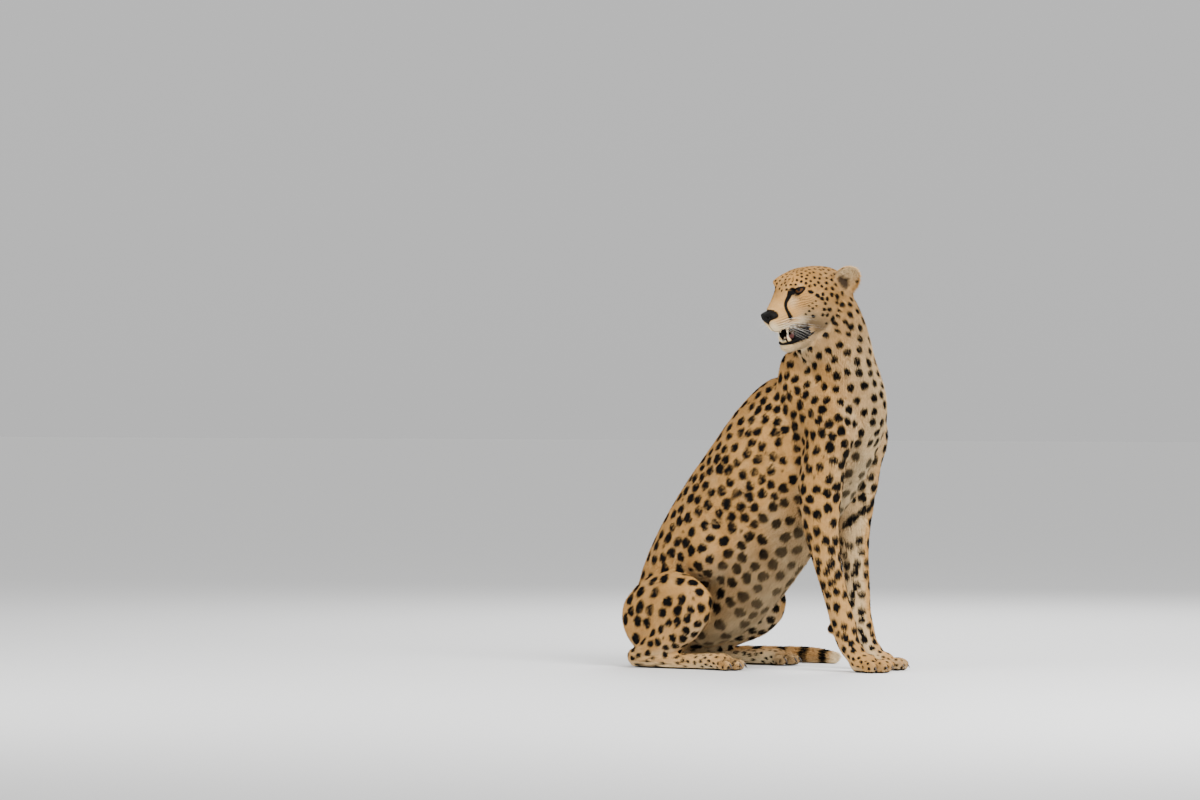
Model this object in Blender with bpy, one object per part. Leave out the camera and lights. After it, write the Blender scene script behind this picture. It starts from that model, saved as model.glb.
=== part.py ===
"""A life-size cheetah that sits up on its haunches and looks back over its right shoulder.

Metres, +Z up. The trunk faces +X, the animal's left is +Y and its soles lie at Z = 0.
Flesh is modelled as Blender metaballs: a limb is a string of overlapping elements along a curve,
each with its own half-width and half-depth. The strings are merged by a voxel remesh, thinned,
and parted into named pieces by thin cuts.
"""

import math

import bmesh
import bpy
from mathutils import Matrix, Quaternion, Vector

# ---------------------------------------------------------------- driving dimensions
HEAD_YAW = math.radians(-112)      # how far the head turns to the animal's right
HEAD_PITCH = math.radians(11)      # nose down
HEAD_SEAT = Vector((0.175, -0.040, 0.846))   # middle of the ear line
JAW_OPEN = math.radians(9.5)
EYE, EYE_RADIUS = (0.0848, 0.0278, 0.049), 0.0175
EAR_HALF_WIDTH, EAR_HALF_HEIGHT = 0.037, 0.040
EAR_CUP, EAR_THICK = 0.014, 0.009

FIELD_THRESHOLD = 0.6              # metaball threshold
STRING_DENSITY = 4.0               # elements per influence radius along a string
CORE_VOXEL = 0.003
GAP = 0.0004                       # clearance between neighbouring pieces

COLOURS = {                        # linear base colour and roughness by the first word of a name
    "coat": ((0.46, 0.27, 0.12), 0.85),
    "eye": ((0.28, 0.13, 0.03), 0.12),
    "nose": ((0.012, 0.011, 0.011), 0.45),
    "tongue": ((0.55, 0.20, 0.18), 0.50),
    "tail": ((0.50, 0.33, 0.18), 0.85),
}

FORE_TOES = ((0.018, -0.031), (0.034, -0.011), (0.034, 0.011), (0.018, 0.031))   # ahead, aside
HIND_TOES = ((0.012, -0.028), (0.027, -0.010), (0.027, 0.010), (0.012, 0.028))
FORE_PAWS = {1: Vector((0.282, 0.060, 0)), -1: Vector((0.300, -0.060, 0))}
HIND_PAWS = {1: Vector((-0.030, 0.136, 0)), -1: Vector((-0.030, -0.136, 0))}

LEFT, RIGHT = 1, -1
SIDE_NAMES = {LEFT: "left", RIGHT: "right"}

HEAD_FRAME = (Matrix.Translation(HEAD_SEAT) @ Matrix.Rotation(HEAD_YAW, 4, "Z")
              @ Matrix.Rotation(HEAD_PITCH, 4, "Y"))
JAW_HINGE = Matrix.Translation((0.030, 0, -0.020))
JAW_FRAME = HEAD_FRAME @ JAW_HINGE @ Matrix.Rotation(JAW_OPEN, 4, "Y") @ JAW_HINGE.inverted()


# ---------------------------------------------------------------- metaball helpers
def metaball_family(name, resolution):
    """An empty metaball object. Only elements of one family blend."""
    field = bpy.data.metaballs.new(name)
    field.resolution = resolution
    field.render_resolution = resolution
    field.threshold = FIELD_THRESHOLD
    family = bpy.data.objects.new(name, field)
    bpy.context.scene.collection.objects.link(family)
    return family


def string_reach(stiffness):
    """Surface radius over influence radius, along a string of elements."""
    edge = (FIELD_THRESHOLD * 35 / (32 * STRING_DENSITY * stiffness)) ** (1 / 3.5)
    return math.sqrt(1 - edge)


def blob_reach(stiffness):
    """Surface radius over influence radius, for one element alone."""
    return math.sqrt(1 - (FIELD_THRESHOLD / stiffness) ** (1 / 3))


def add_element(family, frame, centre, turn, sizes, stiffness):
    element = family.data.elements.new(type="ELLIPSOID")
    element.co = frame @ Vector(centre)
    element.rotation = frame.to_quaternion() @ turn
    element.radius = 1.0
    element.stiffness = stiffness
    element.size_x, element.size_y, element.size_z = sizes
    return element


def add_blob(family, centre, radii, stiffness=5.0, frame=Matrix(), turn=Quaternion(), carve=False):
    """One ellipsoid of flesh with these half-sizes, or a hollow if it carves."""
    sizes = [radius / blob_reach(stiffness) for radius in radii]
    add_element(family, frame, centre, turn, sizes, stiffness).use_negative = carve


def smooth_between(rows, share):
    """Catmull-Rom interpolation of equal-length rows, share from 0 to len(rows) - 1."""
    first = min(int(share), len(rows) - 2)
    t = share - first
    around = [rows[min(max(first + step, 0), len(rows) - 1)] for step in (-1, 0, 1, 2)]
    return [0.5 * (2 * b + (c - a) * t + (2 * a - 5 * b + 4 * c - d) * t * t
                   + (3 * b - a - 3 * c + d) * t ** 3) for a, b, c, d in zip(*around)]


def add_string(family, stations, over, stiffness=5.0, frame=Matrix()):
    """Flesh along a smooth curve. A station is (x, y, z, half-width, half-depth).

    The half-depth lies towards over, square to the curve, and the half-width square to both.
    """
    reach = string_reach(stiffness)
    last = len(stations) - 1
    share = 0.0
    while share <= last:
        x, y, z, wide, deep = smooth_between(stations, share)
        low, high = max(share - 0.01, 0), min(share + 0.01, last)
        along = Vector(smooth_between(stations, high)[:3]) - Vector(smooth_between(stations, low)[:3])
        pace = along.length / (high - low)
        along.normalize()
        across = Vector(over).cross(along).normalized()
        turn = Matrix((along, across, along.cross(across))).transposed().to_quaternion()
        thin = min(wide, deep) / reach
        add_element(family, frame, (x, y, z), turn, (thin, wide / reach, deep / reach), stiffness)
        share += thin / STRING_DENSITY / pace


def mesh_of(family):
    """The family's surface as a mesh object, in place of the metaballs."""
    graph = bpy.context.evaluated_depsgraph_get()
    mesh = bpy.data.meshes.new_from_object(family.evaluated_get(graph))
    name = family.name
    bpy.data.objects.remove(family)
    solid = bpy.data.objects.new(name, mesh)
    bpy.context.scene.collection.objects.link(solid)
    return solid


# ---------------------------------------------------------------- trunk, neck and shoulders
def make_torso():
    torso = metaball_family("torso", 0.007)
    back = (-0.8, 0, 0.6)
    add_string(torso, [                       # trunk, seat to first ribs
        (-0.280, 0, 0.058, 0.080, 0.070),
        (-0.258, 0, 0.135, 0.086, 0.082),
        (-0.218, 0, 0.215, 0.092, 0.098),
        (-0.156, 0, 0.297, 0.096, 0.114),
        (-0.084, 0, 0.370, 0.104, 0.132),
        (-0.006, 0, 0.442, 0.108, 0.147),
        (0.060, 0, 0.508, 0.104, 0.159),
        (0.118, 0, 0.570, 0.092, 0.146),
    ], back, 4.0)
    add_string(torso, [                       # brisket and belly, breast to groin
        (0.222, 0, 0.508, 0.062, 0.064),
        (0.165, 0, 0.430, 0.064, 0.070),
        (0.108, 0, 0.372, 0.074, 0.076),
        (0.054, 0, 0.312, 0.080, 0.080),
        (0.004, 0, 0.250, 0.080, 0.082),
        (-0.046, 0, 0.190, 0.076, 0.080),
        (-0.100, 0, 0.135, 0.070, 0.070),
        (-0.160, 0, 0.095, 0.060, 0.050),
    ], back, 4.0)
    add_string(torso, [                       # neck, breast to nape
        (0.150, 0.000, 0.530, 0.085, 0.115),
        (0.205, -0.002, 0.598, 0.086, 0.117),
        (0.204, -0.010, 0.670, 0.080, 0.093),
        (0.202, -0.020, 0.735, 0.073, 0.083),
        (0.192, -0.030, 0.800, 0.068, 0.076),
        (0.180, -0.038, 0.850, 0.056, 0.060),
    ], (-1, 0, 0))
    for z, x in ((0.300, -0.030), (0.380, 0.045), (0.450, 0.110)):
        add_blob(torso, (x, 0, z), (0.080, 0.098, 0.080), 3.0)       # flank between back and belly
    add_blob(torso, (0.034, 0, -0.088), (0.056, 0.056, 0.046), 4.0, HEAD_FRAME)   # throat
    add_blob(torso, (0.118, 0, 0.668), (0.042, 0.056, 0.052), 3.0)   # withers between the blades
    for side in (LEFT, RIGHT):
        add_blob(torso, (-0.110, side * 0.066, 0.262), (0.070, 0.050, 0.060), 3.0)   # point of the hip
    for side in (LEFT, RIGHT):
        add_string(torso, [                   # shoulder blade and upper arm
            (0.102, side * 0.046, 0.716, 0.028, 0.036),
            (0.122, side * 0.062, 0.648, 0.034, 0.056),
            (0.206, side * 0.084, 0.560, 0.040, 0.070),
            (0.200, side * 0.089, 0.490, 0.041, 0.058),
            (0.194, side * 0.088, 0.425, 0.037, 0.055),
            (0.190, side * 0.086, 0.385, 0.030, 0.044),
        ], (1, 0, 0.4))
    return torso


# ---------------------------------------------------------------- forelegs
def make_foreleg(side):
    shift = 0.0 if side == RIGHT else -0.018  # the left paw stands a little behind the right
    leg = metaball_family("foreleg_" + SIDE_NAMES[side], 0.006)
    front = (1, 0, 0.2)
    add_string(leg, [
        (0.198, side * 0.087, 0.450, 0.028, 0.044),
        (0.190, side * 0.086, 0.400, 0.036, 0.053),
        (0.188, side * 0.082, 0.340, 0.034, 0.046),
        (0.198 + shift * 0.2, side * 0.076, 0.270, 0.030, 0.037),
        (0.216 + shift * 0.5, side * 0.069, 0.190, 0.026, 0.031),
        (0.232 + shift, side * 0.062, 0.125, 0.026, 0.030),
        (0.240 + shift, side * 0.060, 0.095, 0.027, 0.031),
        (0.252 + shift, side * 0.060, 0.060, 0.027, 0.026),
        (0.272 + shift, side * 0.060, 0.036, 0.031, 0.023),
    ], front, stiffness=8.0)
    add_blob(leg, (0.208 + shift, side * 0.064, 0.098), (0.012, 0.012, 0.014))
    paw = FORE_PAWS[side]
    add_blob(leg, paw + Vector((-0.012, 0, 0.021)), (0.034, 0.034, 0.024), 6.0)
    for reach, spread in FORE_TOES:
        splay = Quaternion((0, 0, 1), spread * 8)
        add_blob(leg, paw + Vector((reach, spread, 0.0145)), (0.023, 0.0120, 0.0165), 12.0, turn=splay)
    return leg


# ---------------------------------------------------------------- hind legs
def make_haunch(side):
    ahead = 0.0 if side == RIGHT else 0.052   # the left knee reaches further forward
    haunch = metaball_family("haunch_" + SIDE_NAMES[side], 0.007)
    add_string(haunch, [                      # thigh, hip to knee
        (-0.288, side * 0.076, 0.098, 0.048, 0.080),
        (-0.218, side * 0.092, 0.132, 0.052, 0.094),
        (-0.160 + ahead * 0.5, side * 0.112, 0.144, 0.046, 0.082),
        (-0.110 + ahead, side * 0.126, 0.160, 0.036, 0.056),
    ], (0, 0, 1))
    add_string(haunch, [                      # shank, knee to hock
        (-0.106 + ahead, side * 0.130, 0.165, 0.032, 0.042),
        (-0.128 + ahead, side * 0.132, 0.118, 0.034, 0.046),
        (-0.180, side * 0.132, 0.075, 0.032, 0.042),
        (-0.235, side * 0.130, 0.045, 0.022, 0.028),
        (-0.268, side * 0.128, 0.030, 0.020, 0.024),
    ], (1, 0, 1))
    return haunch


def make_hind_foot(side):
    foot = metaball_family("hind_foot_" + SIDE_NAMES[side], 0.006)
    add_string(foot, [
        (-0.275, side * 0.128, 0.026, 0.021, 0.025),
        (-0.200, side * 0.129, 0.020, 0.020, 0.020),
        (-0.120, side * 0.131, 0.018, 0.022, 0.019),
        (-0.060, side * 0.134, 0.020, 0.030, 0.020),
    ], (0, 0, 1), stiffness=8.0)
    paw = HIND_PAWS[side]
    add_blob(foot, paw + Vector((-0.012, 0, 0.019)), (0.030, 0.030, 0.021), 6.0)
    for reach, spread in HIND_TOES:
        splay = Quaternion((0, 0, 1), spread * 8)
        add_blob(foot, paw + Vector((reach, spread, 0.015)), (0.023, 0.0115, 0.0150), 12.0, turn=splay)
    return foot


# ---------------------------------------------------------------- tail
def make_tail():
    tail = metaball_family("tail", 0.006)
    add_string(tail, [
        (-0.270, 0.000, 0.060, 0.030, 0.034),
        (-0.330, 0.030, 0.032, 0.024, 0.026),
        (-0.350, 0.110, 0.022, 0.021, 0.021),
        (-0.300, 0.190, 0.020, 0.020, 0.020),
        (-0.210, 0.240, 0.020, 0.020, 0.020),
        (-0.110, 0.265, 0.020, 0.020, 0.020),
        (-0.020, 0.268, 0.020, 0.020, 0.020),
        (0.052, 0.258, 0.015, 0.015, 0.015),
    ], (0, 0, 1), stiffness=8.0)
    return tail


# ---------------------------------------------------------------- head
def loft(sections, rings=56, around=48):
    """A closed tube along X through sections.

    A section is (x, top, level, bottom, half-width, bend): level is the height of its widest line,
    and a bend below 1 squares its upper half.
    """
    verts = []
    last = len(sections) - 1
    for ring in range(1, rings):
        x, top, level, bottom, wide, bend = smooth_between(sections, last * ring / rings)
        for step in range(around):
            across, rise = math.sin(2 * math.pi * step / around), math.cos(2 * math.pi * step / around)
            if rise > 0:
                across = math.copysign(abs(across) ** bend, across)
                rise = (top - level) * rise ** bend
            else:
                rise = (level - bottom) * rise
            verts.append(Vector((x, wide * across, level + rise)))
    faces = []
    for ring in range(rings - 2):
        for step in range(around):
            here, after = ring * around + step, ring * around + (step + 1) % around
            faces.append((here, after, after + around, here + around))
    ends = []
    for row in (sections[0], sections[-1]):
        ends.append(len(verts))
        verts.append(Vector((row[0], 0, row[2])))
    for step in range(around):
        after = (step + 1) % around
        faces.append((ends[0], after, step))
        faces.append((ends[1], (rings - 2) * around + step, (rings - 2) * around + after))
    return verts, faces


def push(verts, moves):
    """Soft local moves (centre, reach, shift) given for the left side and mirrored to the right."""
    for centre, reach, shift in moves:
        for side in (LEFT, RIGHT):
            middle = Vector((centre[0], centre[1] * side, centre[2]))
            step = Vector((shift[0], shift[1] * side, shift[2]))
            if centre[1] == 0:
                step = step * 0.5
            for point in verts:
                weight = math.exp(-((point - middle).length / reach) ** 2)
                if weight > 0.001:
                    point += step * weight


def solid_from(name, verts, faces, frame=Matrix()):
    mesh = bpy.data.meshes.new(name)
    mesh.from_pydata([frame @ point for point in verts], [], faces)
    solid = bpy.data.objects.new(name, mesh)
    bpy.context.scene.collection.objects.link(solid)
    return solid


def make_head():
    verts, faces = loft([
        (-0.074, 0.020, 0.010, 0.000, 0.002, 1.0),
        (-0.062, 0.050, 0.012, -0.040, 0.036, 1.0),
        (-0.045, 0.069, 0.008, -0.062, 0.053, 1.0),
        (-0.020, 0.083, 0.003, -0.076, 0.064, 0.95),
        (0.010, 0.090, -0.003, -0.084, 0.070, 0.90),
        (0.040, 0.0935, -0.004, -0.082, 0.071, 0.85),
        (0.065, 0.0930, 0.000, -0.066, 0.067, 0.80),
        (0.084, 0.0895, 0.004, -0.044, 0.059, 0.75),
        (0.098, 0.0840, 0.006, -0.043, 0.052, 0.62),
        (0.110, 0.0750, 0.003, -0.043, 0.046, 0.62),
        (0.122, 0.0610, -0.003, -0.043, 0.039, 0.72),
        (0.136, 0.0450, -0.010, -0.043, 0.035, 0.88),
        (0.150, 0.0320, -0.013, -0.0430, 0.0290, 0.95),
        (0.161, 0.0230, -0.012, -0.0370, 0.0225, 1.0),
        (0.169, 0.0165, -0.008, -0.0260, 0.0195, 1.0),
        (0.175, 0.0110, -0.004, -0.0170, 0.0160, 1.0),
        (0.180, 0.0040, 0.000, -0.0060, 0.0080, 1.0),
    ])
    push(verts, [
        ((0.108, 0.042, 0.050), 0.017, (-0.002, -0.018, 0.000)),   # eye hollow
        ((0.108, 0.036, 0.068), 0.017, (0.011, 0.003, 0.001)),     # brow
        ((0.122, 0.036, 0.020), 0.018, (0.000, -0.005, 0.000)),    # hollow beside the bridge
        ((0.078, 0.060, 0.016), 0.022, (0.004, 0.003, 0.002)),     # cheekbone
        ((0.146, 0.031, -0.020), 0.015, (0.002, 0.004, 0.000)),    # whisker pad
        ((0.090, 0.000, 0.094), 0.012, (0.000, 0.000, -0.003)),    # furrow of the forehead
        ((0.115, 0.000, -0.050), 0.024, (0.000, 0.000, 0.028)),    # palate
    ])
    return solid_from("head", verts, faces, HEAD_FRAME)


def make_jaw():
    verts, faces = loft([
        (-0.010, -0.040, -0.045, -0.050, 0.004, 1.0),
        (0.010, -0.012, -0.045, -0.084, 0.048, 1.0),
        (0.050, -0.026, -0.052, -0.084, 0.045, 1.0),
        (0.090, -0.038, -0.055, -0.080, 0.036, 0.8),
        (0.115, -0.040, -0.056, -0.077, 0.029, 0.7),
        (0.132, -0.041, -0.057, -0.075, 0.024, 0.7),
        (0.142, -0.043, -0.057, -0.071, 0.018, 0.8),
        (0.149, -0.052, -0.058, -0.063, 0.007, 1.0),
    ])
    push(verts, [
        ((0.100, 0.000, -0.034), 0.020, (0.000, 0.000, -0.014)),   # bed of the tongue
    ])
    return solid_from("jaw", verts, faces, JAW_FRAME)


def make_ear(side):
    """A round cupped shell whose foot is sunk in the head."""
    centre = Vector((-0.018, side * 0.064, 0.044 if side == LEFT else 0.036))
    up = Vector((-0.29, side * 0.50, 0.79)).normalized()
    face = Vector((0.35, side * 0.85, -0.42)).normalized()
    along = up.cross(face).normalized()
    rings, around = 5, 20
    verts = [centre - face * EAR_CUP, centre - face * (EAR_CUP + EAR_THICK)]
    for layer in (0, 1):
        for ring in range(1, rings + 1):
            out = ring / rings
            thick = EAR_THICK * (1 - 0.45 * out) * layer
            for step in range(around):
                angle = 2 * math.pi * step / around
                reach = along * (EAR_HALF_WIDTH * math.cos(angle)) + up * (EAR_HALF_HEIGHT * math.sin(angle))
                verts.append(centre + reach * out - face * (EAR_CUP * (1 - out ** 2) + thick))
    faces = []
    inner, outer = 2 + (rings - 1) * around, 2 + (2 * rings - 1) * around
    for step in range(around):
        after = (step + 1) % around
        for layer, order in ((0, 1), (1, -1)):
            start = 2 + layer * rings * around
            faces.append((layer, start + step, start + after)[::order])
            for ring in range(rings - 1):
                row = start + ring * around
                faces.append((row + step, row + around + step, row + around + after, row + after)[::order])
        faces.append((inner + step, outer + step, outer + after, inner + after))
    if side == LEFT:
        faces = [tuple(reversed(face)) for face in faces]
    return solid_from("ear_" + SIDE_NAMES[side], verts, faces, HEAD_FRAME)


# ---------------------------------------------------------------- eyes, nose, teeth, tongue, claws
def ellipsoid(name, centre, radii, frame=Matrix(), turn=0.0, segments=12):
    """An ellipsoid with its poles up and down, turned by an angle about its own upright axis."""
    mesh = bpy.data.meshes.new(name)
    shape = bmesh.new()
    bmesh.ops.create_uvsphere(shape, u_segments=segments, v_segments=segments // 2, radius=1.0)
    place = frame @ Matrix.Translation(centre) @ Matrix.Rotation(turn, 4, "Z") @ Matrix.Diagonal((*radii, 1))
    shape.transform(place)
    shape.to_mesh(mesh)
    shape.free()
    solid = bpy.data.objects.new(name, mesh)
    bpy.context.scene.collection.objects.link(solid)
    return solid


def spike(name, root, tip, radius, frame=Matrix(), segments=6):
    """A cone from root to a rounded tip."""
    root, tip = frame @ Vector(root), frame @ Vector(tip)
    along = tip - root
    turn = along.to_track_quat("Z", "Y").to_matrix().to_4x4()
    mesh = bpy.data.meshes.new(name)
    shape = bmesh.new()
    bmesh.ops.create_cone(shape, cap_ends=True, segments=segments, radius1=radius, radius2=radius * 0.25,
                          depth=along.length)
    shape.transform(Matrix.Translation((root + tip) / 2) @ turn)
    shape.to_mesh(mesh)
    shape.free()
    solid = bpy.data.objects.new(name, mesh)
    bpy.context.scene.collection.objects.link(solid)
    return solid


def make_teeth():
    upper, lower = [], []
    for side in (LEFT, RIGHT):
        upper.append(spike("canine", (0.131, side * 0.0215, -0.030), (0.128, side * 0.0205, -0.050), 0.0056,
                           HEAD_FRAME))
        lower.append(spike("canine", (0.134, side * 0.0150, -0.048), (0.137, side * 0.0160, -0.029), 0.0050,
                           JAW_FRAME))
    return upper, lower


def add_claws(foot, paw, toes):
    """A short blunt claw at the front of each toe (reach, spread)."""
    for reach, spread in toes:
        root = paw + Vector((reach + 0.010, spread * 1.08, 0.0160))
        tip = paw + Vector((reach + 0.024, spread * 1.13, 0.0085))
        absorb(foot, [spike("claw", root, tip, 0.0040, segments=5)])


# ---------------------------------------------------------------- solids
def apply_modifier(solid, kind, **settings):
    modifier = solid.modifiers.new(kind.lower(), kind)
    for setting, value in settings.items():
        setattr(modifier, setting, value)
    graph = bpy.context.evaluated_depsgraph_get()
    mesh = bpy.data.meshes.new_from_object(solid.evaluated_get(graph))
    solid.modifiers.clear()
    solid.data = mesh


def combine(solid, other, operation):
    """Boolean with another solid, which is left as it is."""
    apply_modifier(solid, "BOOLEAN", object=other, operation=operation, solver="EXACT")


def cut_away(solid, other, gap=GAP):
    """Take another solid and a clearance round it out of this one."""
    cutter = other.copy()
    cutter.data = other.data.copy()
    bpy.context.scene.collection.objects.link(cutter)
    normals = [vertex.normal.copy() for vertex in cutter.data.vertices]
    for vertex, normal in zip(cutter.data.vertices, normals):
        vertex.co += normal * gap
    combine(solid, cutter, "DIFFERENCE")
    bpy.data.objects.remove(cutter)


def absorb(solid, others):
    for other in others:
        combine(solid, other, "UNION")
        bpy.data.objects.remove(other)


def merge_flesh(name, parts):
    """One watertight skin round overlapping parts."""
    joined = bmesh.new()
    for part in parts:
        joined.from_mesh(part.data)
        bpy.data.objects.remove(part)
    mesh = bpy.data.meshes.new(name)
    joined.to_mesh(mesh)
    joined.free()
    solid = bpy.data.objects.new(name, mesh)
    bpy.context.scene.collection.objects.link(solid)
    apply_modifier(solid, "REMESH", mode="VOXEL", voxel_size=CORE_VOXEL)
    apply_modifier(solid, "SMOOTH", factor=0.5, iterations=4)
    return solid


def thin_out(solid, triangles, region=None):
    """Decimate to a triangle count, all over or only where region(point) holds."""
    mesh = solid.data
    mesh.calc_loop_triangles()
    total = len(mesh.loop_triangles)
    inside = [not region or region(vertex.co) for vertex in mesh.vertices]
    count = sum(all(inside[index] for index in face.vertices) for face in mesh.loop_triangles)
    group = solid.vertex_groups.new(name="region")
    group.add([index for index, held in enumerate(inside) if held], 1.0, "REPLACE")
    apply_modifier(solid, "DECIMATE", ratio=1 - max(0, count - triangles) / total,
                   use_collapse_triangulate=True, vertex_group="region")
    solid.vertex_groups.clear()


def box(name, centre, sizes, normal=(0, 0, 1), over=(1, 0, 0)):
    """A box whose third side lies along normal and whose first lies close to over."""
    third = Vector(normal).normalized()
    second = third.cross(Vector(over)).normalized()
    turn = Matrix((second.cross(third), second, third)).transposed().to_4x4()
    mesh = bpy.data.meshes.new(name)
    shape = bmesh.new()
    bmesh.ops.create_cube(shape, size=1.0)
    shape.transform(Matrix.Translation(centre) @ turn @ Matrix.Diagonal((*sizes, 1)))
    shape.to_mesh(mesh)
    shape.free()
    solid = bpy.data.objects.new(name, mesh)
    bpy.context.scene.collection.objects.link(solid)
    return solid


def flatten_sole(solid):
    """Everything under the floor is taken off."""
    below = box("below", (0, 0, -0.1), (2, 2, 0.2))
    combine(solid, below, "DIFFERENCE")
    bpy.data.objects.remove(below)


def part_by(solid, cuts):
    """Split a solid by thin slabs (centre, normal, over, width, depth)."""
    for centre, normal, over, width, depth in cuts:
        slab = box("slab", centre, (width, depth, GAP), normal, over)
        combine(solid, slab, "DIFFERENCE")
        bpy.data.objects.remove(slab)


def loose_pieces(solid, seeds):
    """Each loose piece as its own object, named after the seed point nearest its middle."""
    shape = bmesh.new()
    shape.from_mesh(solid.data)
    pieces, unseen = [], set(shape.verts)
    while unseen:
        stack, island = [unseen.pop()], set()
        while stack:
            vertex = stack.pop()
            island.add(vertex)
            for edge in vertex.link_edges:
                other = edge.other_vert(vertex)
                if other in unseen:
                    unseen.discard(other)
                    stack.append(other)
        pieces.append(island)
    shape.verts.index_update()
    islands = [{vertex.index for vertex in island} for island in pieces]
    shape.free()
    found = {}
    for island in sorted(islands, key=len, reverse=True)[:len(seeds)]:
        points = [solid.data.vertices[index].co for index in island]
        middle = Vector([(min(values) + max(values)) / 2 for values in zip(*points)])
        unnamed = [seed for seed in seeds if seed not in found]
        name = min(unnamed, key=lambda seed: (Vector(seeds[seed]) - middle).length)
        order = {index: place for place, index in enumerate(sorted(island))}
        faces = [[order[index] for index in face.vertices] for face in solid.data.polygons
                 if face.vertices[0] in island]
        found[name] = solid_from(name, [solid.data.vertices[index].co.copy() for index in sorted(island)], faces)
    bpy.data.objects.remove(solid)
    return found


def on_face(point):
    local = HEAD_FRAME.inverted() @ point
    return local.x > 0.06 and local.length < 0.22


def on_skull(point):
    return not on_face(point) and (HEAD_FRAME.inverted() @ point).length < 0.13


def on_body(point):
    return not on_face(point) and not on_skull(point)


def make_all():
    for leftover in list(bpy.data.objects):
        bpy.data.objects.remove(leftover)
    nodes = {}
    core = merge_flesh("core", [mesh_of(make_torso()), make_head(), make_jaw()])
    thin_out(core, 850, on_body)
    thin_out(core, 340, on_skull)
    thin_out(core, 850, on_face)
    thin_out(core, 1750)

    for side in (LEFT, RIGHT):
        name = SIDE_NAMES[side]
        eye = ellipsoid("eye_" + name, (EYE[0], EYE[1] * side, EYE[2]), (EYE_RADIUS,) * 3, HEAD_FRAME)
        lids = ellipsoid("lids", (0.0975, 0.0385 * side, 0.0505), (0.0150, 0.0110, 0.0085), HEAD_FRAME,
                         math.radians(-49) * side)
        combine(core, lids, "DIFFERENCE")
        bpy.data.objects.remove(lids)
        cut_away(core, eye)
        nodes[eye.name] = eye
        ear = make_ear(side)
        cut_away(ear, core)
        nodes[ear.name] = ear
    nose = ellipsoid("nose", (0.1660, 0, -0.0015), (0.0160, 0.0215, 0.0145), HEAD_FRAME)
    cut_away(core, nose)
    nodes["nose"] = nose
    tongue = ellipsoid("tongue", (0.088, 0, -0.044), (0.044, 0.018, 0.0065), JAW_FRAME)
    cut_away(core, tongue)
    nodes["tongue"] = tongue
    upper, lower = make_teeth()
    absorb(core, upper + lower)

    for side in (LEFT, RIGHT):
        name = SIDE_NAMES[side]
        foot = mesh_of(make_hind_foot(side))
        haunch = mesh_of(make_haunch(side))
        foreleg = mesh_of(make_foreleg(side))
        thin_out(foot, 280)
        thin_out(haunch, 300)
        thin_out(foreleg, 520)
        add_claws(foot, HIND_PAWS[side], HIND_TOES)
        add_claws(foreleg, FORE_PAWS[side], FORE_TOES)
        cut_away(haunch, foot)
        cut_away(core, foot)
        cut_away(core, haunch)
        cut_away(core, foreleg)
        for solid in (foot, haunch, foreleg):
            flatten_sole(solid)
        part_by(haunch, [((-0.150, side * 0.12, 0.102), (-0.54, 0, 0.84), (1, 0, 0), 0.6, 0.4)])
        part_by(foreleg, [((0.2, side * 0.07, 0.360), (0, 0, 1), (1, 0, 0), 0.3, 0.3),
                          ((0.2, side * 0.07, 0.108), (0, 0, 1), (1, 0, 0), 0.3, 0.3)])
        nodes["hind_foot_" + name] = foot
        nodes.update(loose_pieces(haunch, {"thigh_" + name: (-0.22, side * 0.1, 0.15),
                                           "shank_" + name: (-0.18, side * 0.13, 0.07)}))
        nodes.update(loose_pieces(foreleg, {"upper_arm_" + name: (0.20, side * 0.09, 0.43),
                                            "forearm_" + name: (0.21, side * 0.07, 0.25),
                                            "front_paw_" + name: (0.27, side * 0.06, 0.04)}))
    tail = mesh_of(make_tail())
    thin_out(tail, 340)
    cut_away(core, tail)
    flatten_sole(tail)
    flatten_sole(core)
    part_by(tail, [((-0.350, 0.110, 0.02), (0.18, 0.98, 0), (0, 0, 1), 0.1, 0.1),
                   ((-0.210, 0.240, 0.02), (0.93, 0.37, 0), (0, 0, 1), 0.1, 0.1),
                   ((-0.080, 0.267, 0.02), (1, 0.03, 0), (0, 0, 1), 0.1, 0.1)])
    nodes.update(loose_pieces(tail, {"tail_root": (-0.31, 0.04, 0.03), "tail_upper": (-0.30, 0.18, 0.02),
                                     "tail_lower": (-0.15, 0.25, 0.02), "tail_tip": (0.0, 0.265, 0.02)}))
    forward = HEAD_FRAME.to_3x3() @ Vector((1, 0, 0))
    sideways = HEAD_FRAME.to_3x3() @ Vector((0, 1, 0))
    level = Vector((forward.x, forward.y, 0)).normalized()
    part_by(core, [
        (HEAD_SEAT + level * 0.083 + Vector((0, 0, -0.094)), level * 0.985 + Vector((0, 0, 0.17)), sideways,
         0.14, 0.055),
        (HEAD_SEAT + level * -0.0235 + Vector((0, 0, -0.055)), level * 0.287 + Vector((0, 0, 0.958)),
         sideways, 0.26, 0.2225),
        ((0.205, 0, 0.680), (0.606, 0, 0.795), (0, 1, 0), 0.21, 0.40),
        ((0.030, 0, 0.400), (0.62, 0, 0.78), (0, 1, 0), 0.50, 0.70),
        ((-0.120, 0, 0.200), (0.62, 0, 0.78), (0, 1, 0), 0.50, 0.70),
    ])
    nodes.update(loose_pieces(core, {"head": HEAD_SEAT, "lower_jaw": JAW_FRAME @ Vector((0.12, 0, -0.05)),
                                     "neck": (0.20, -0.02, 0.73), "chest": (0.13, 0, 0.53),
                                     "loin": (-0.05, 0, 0.30), "rump": (-0.2, 0, 0.12)}))
    return nodes


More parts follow.
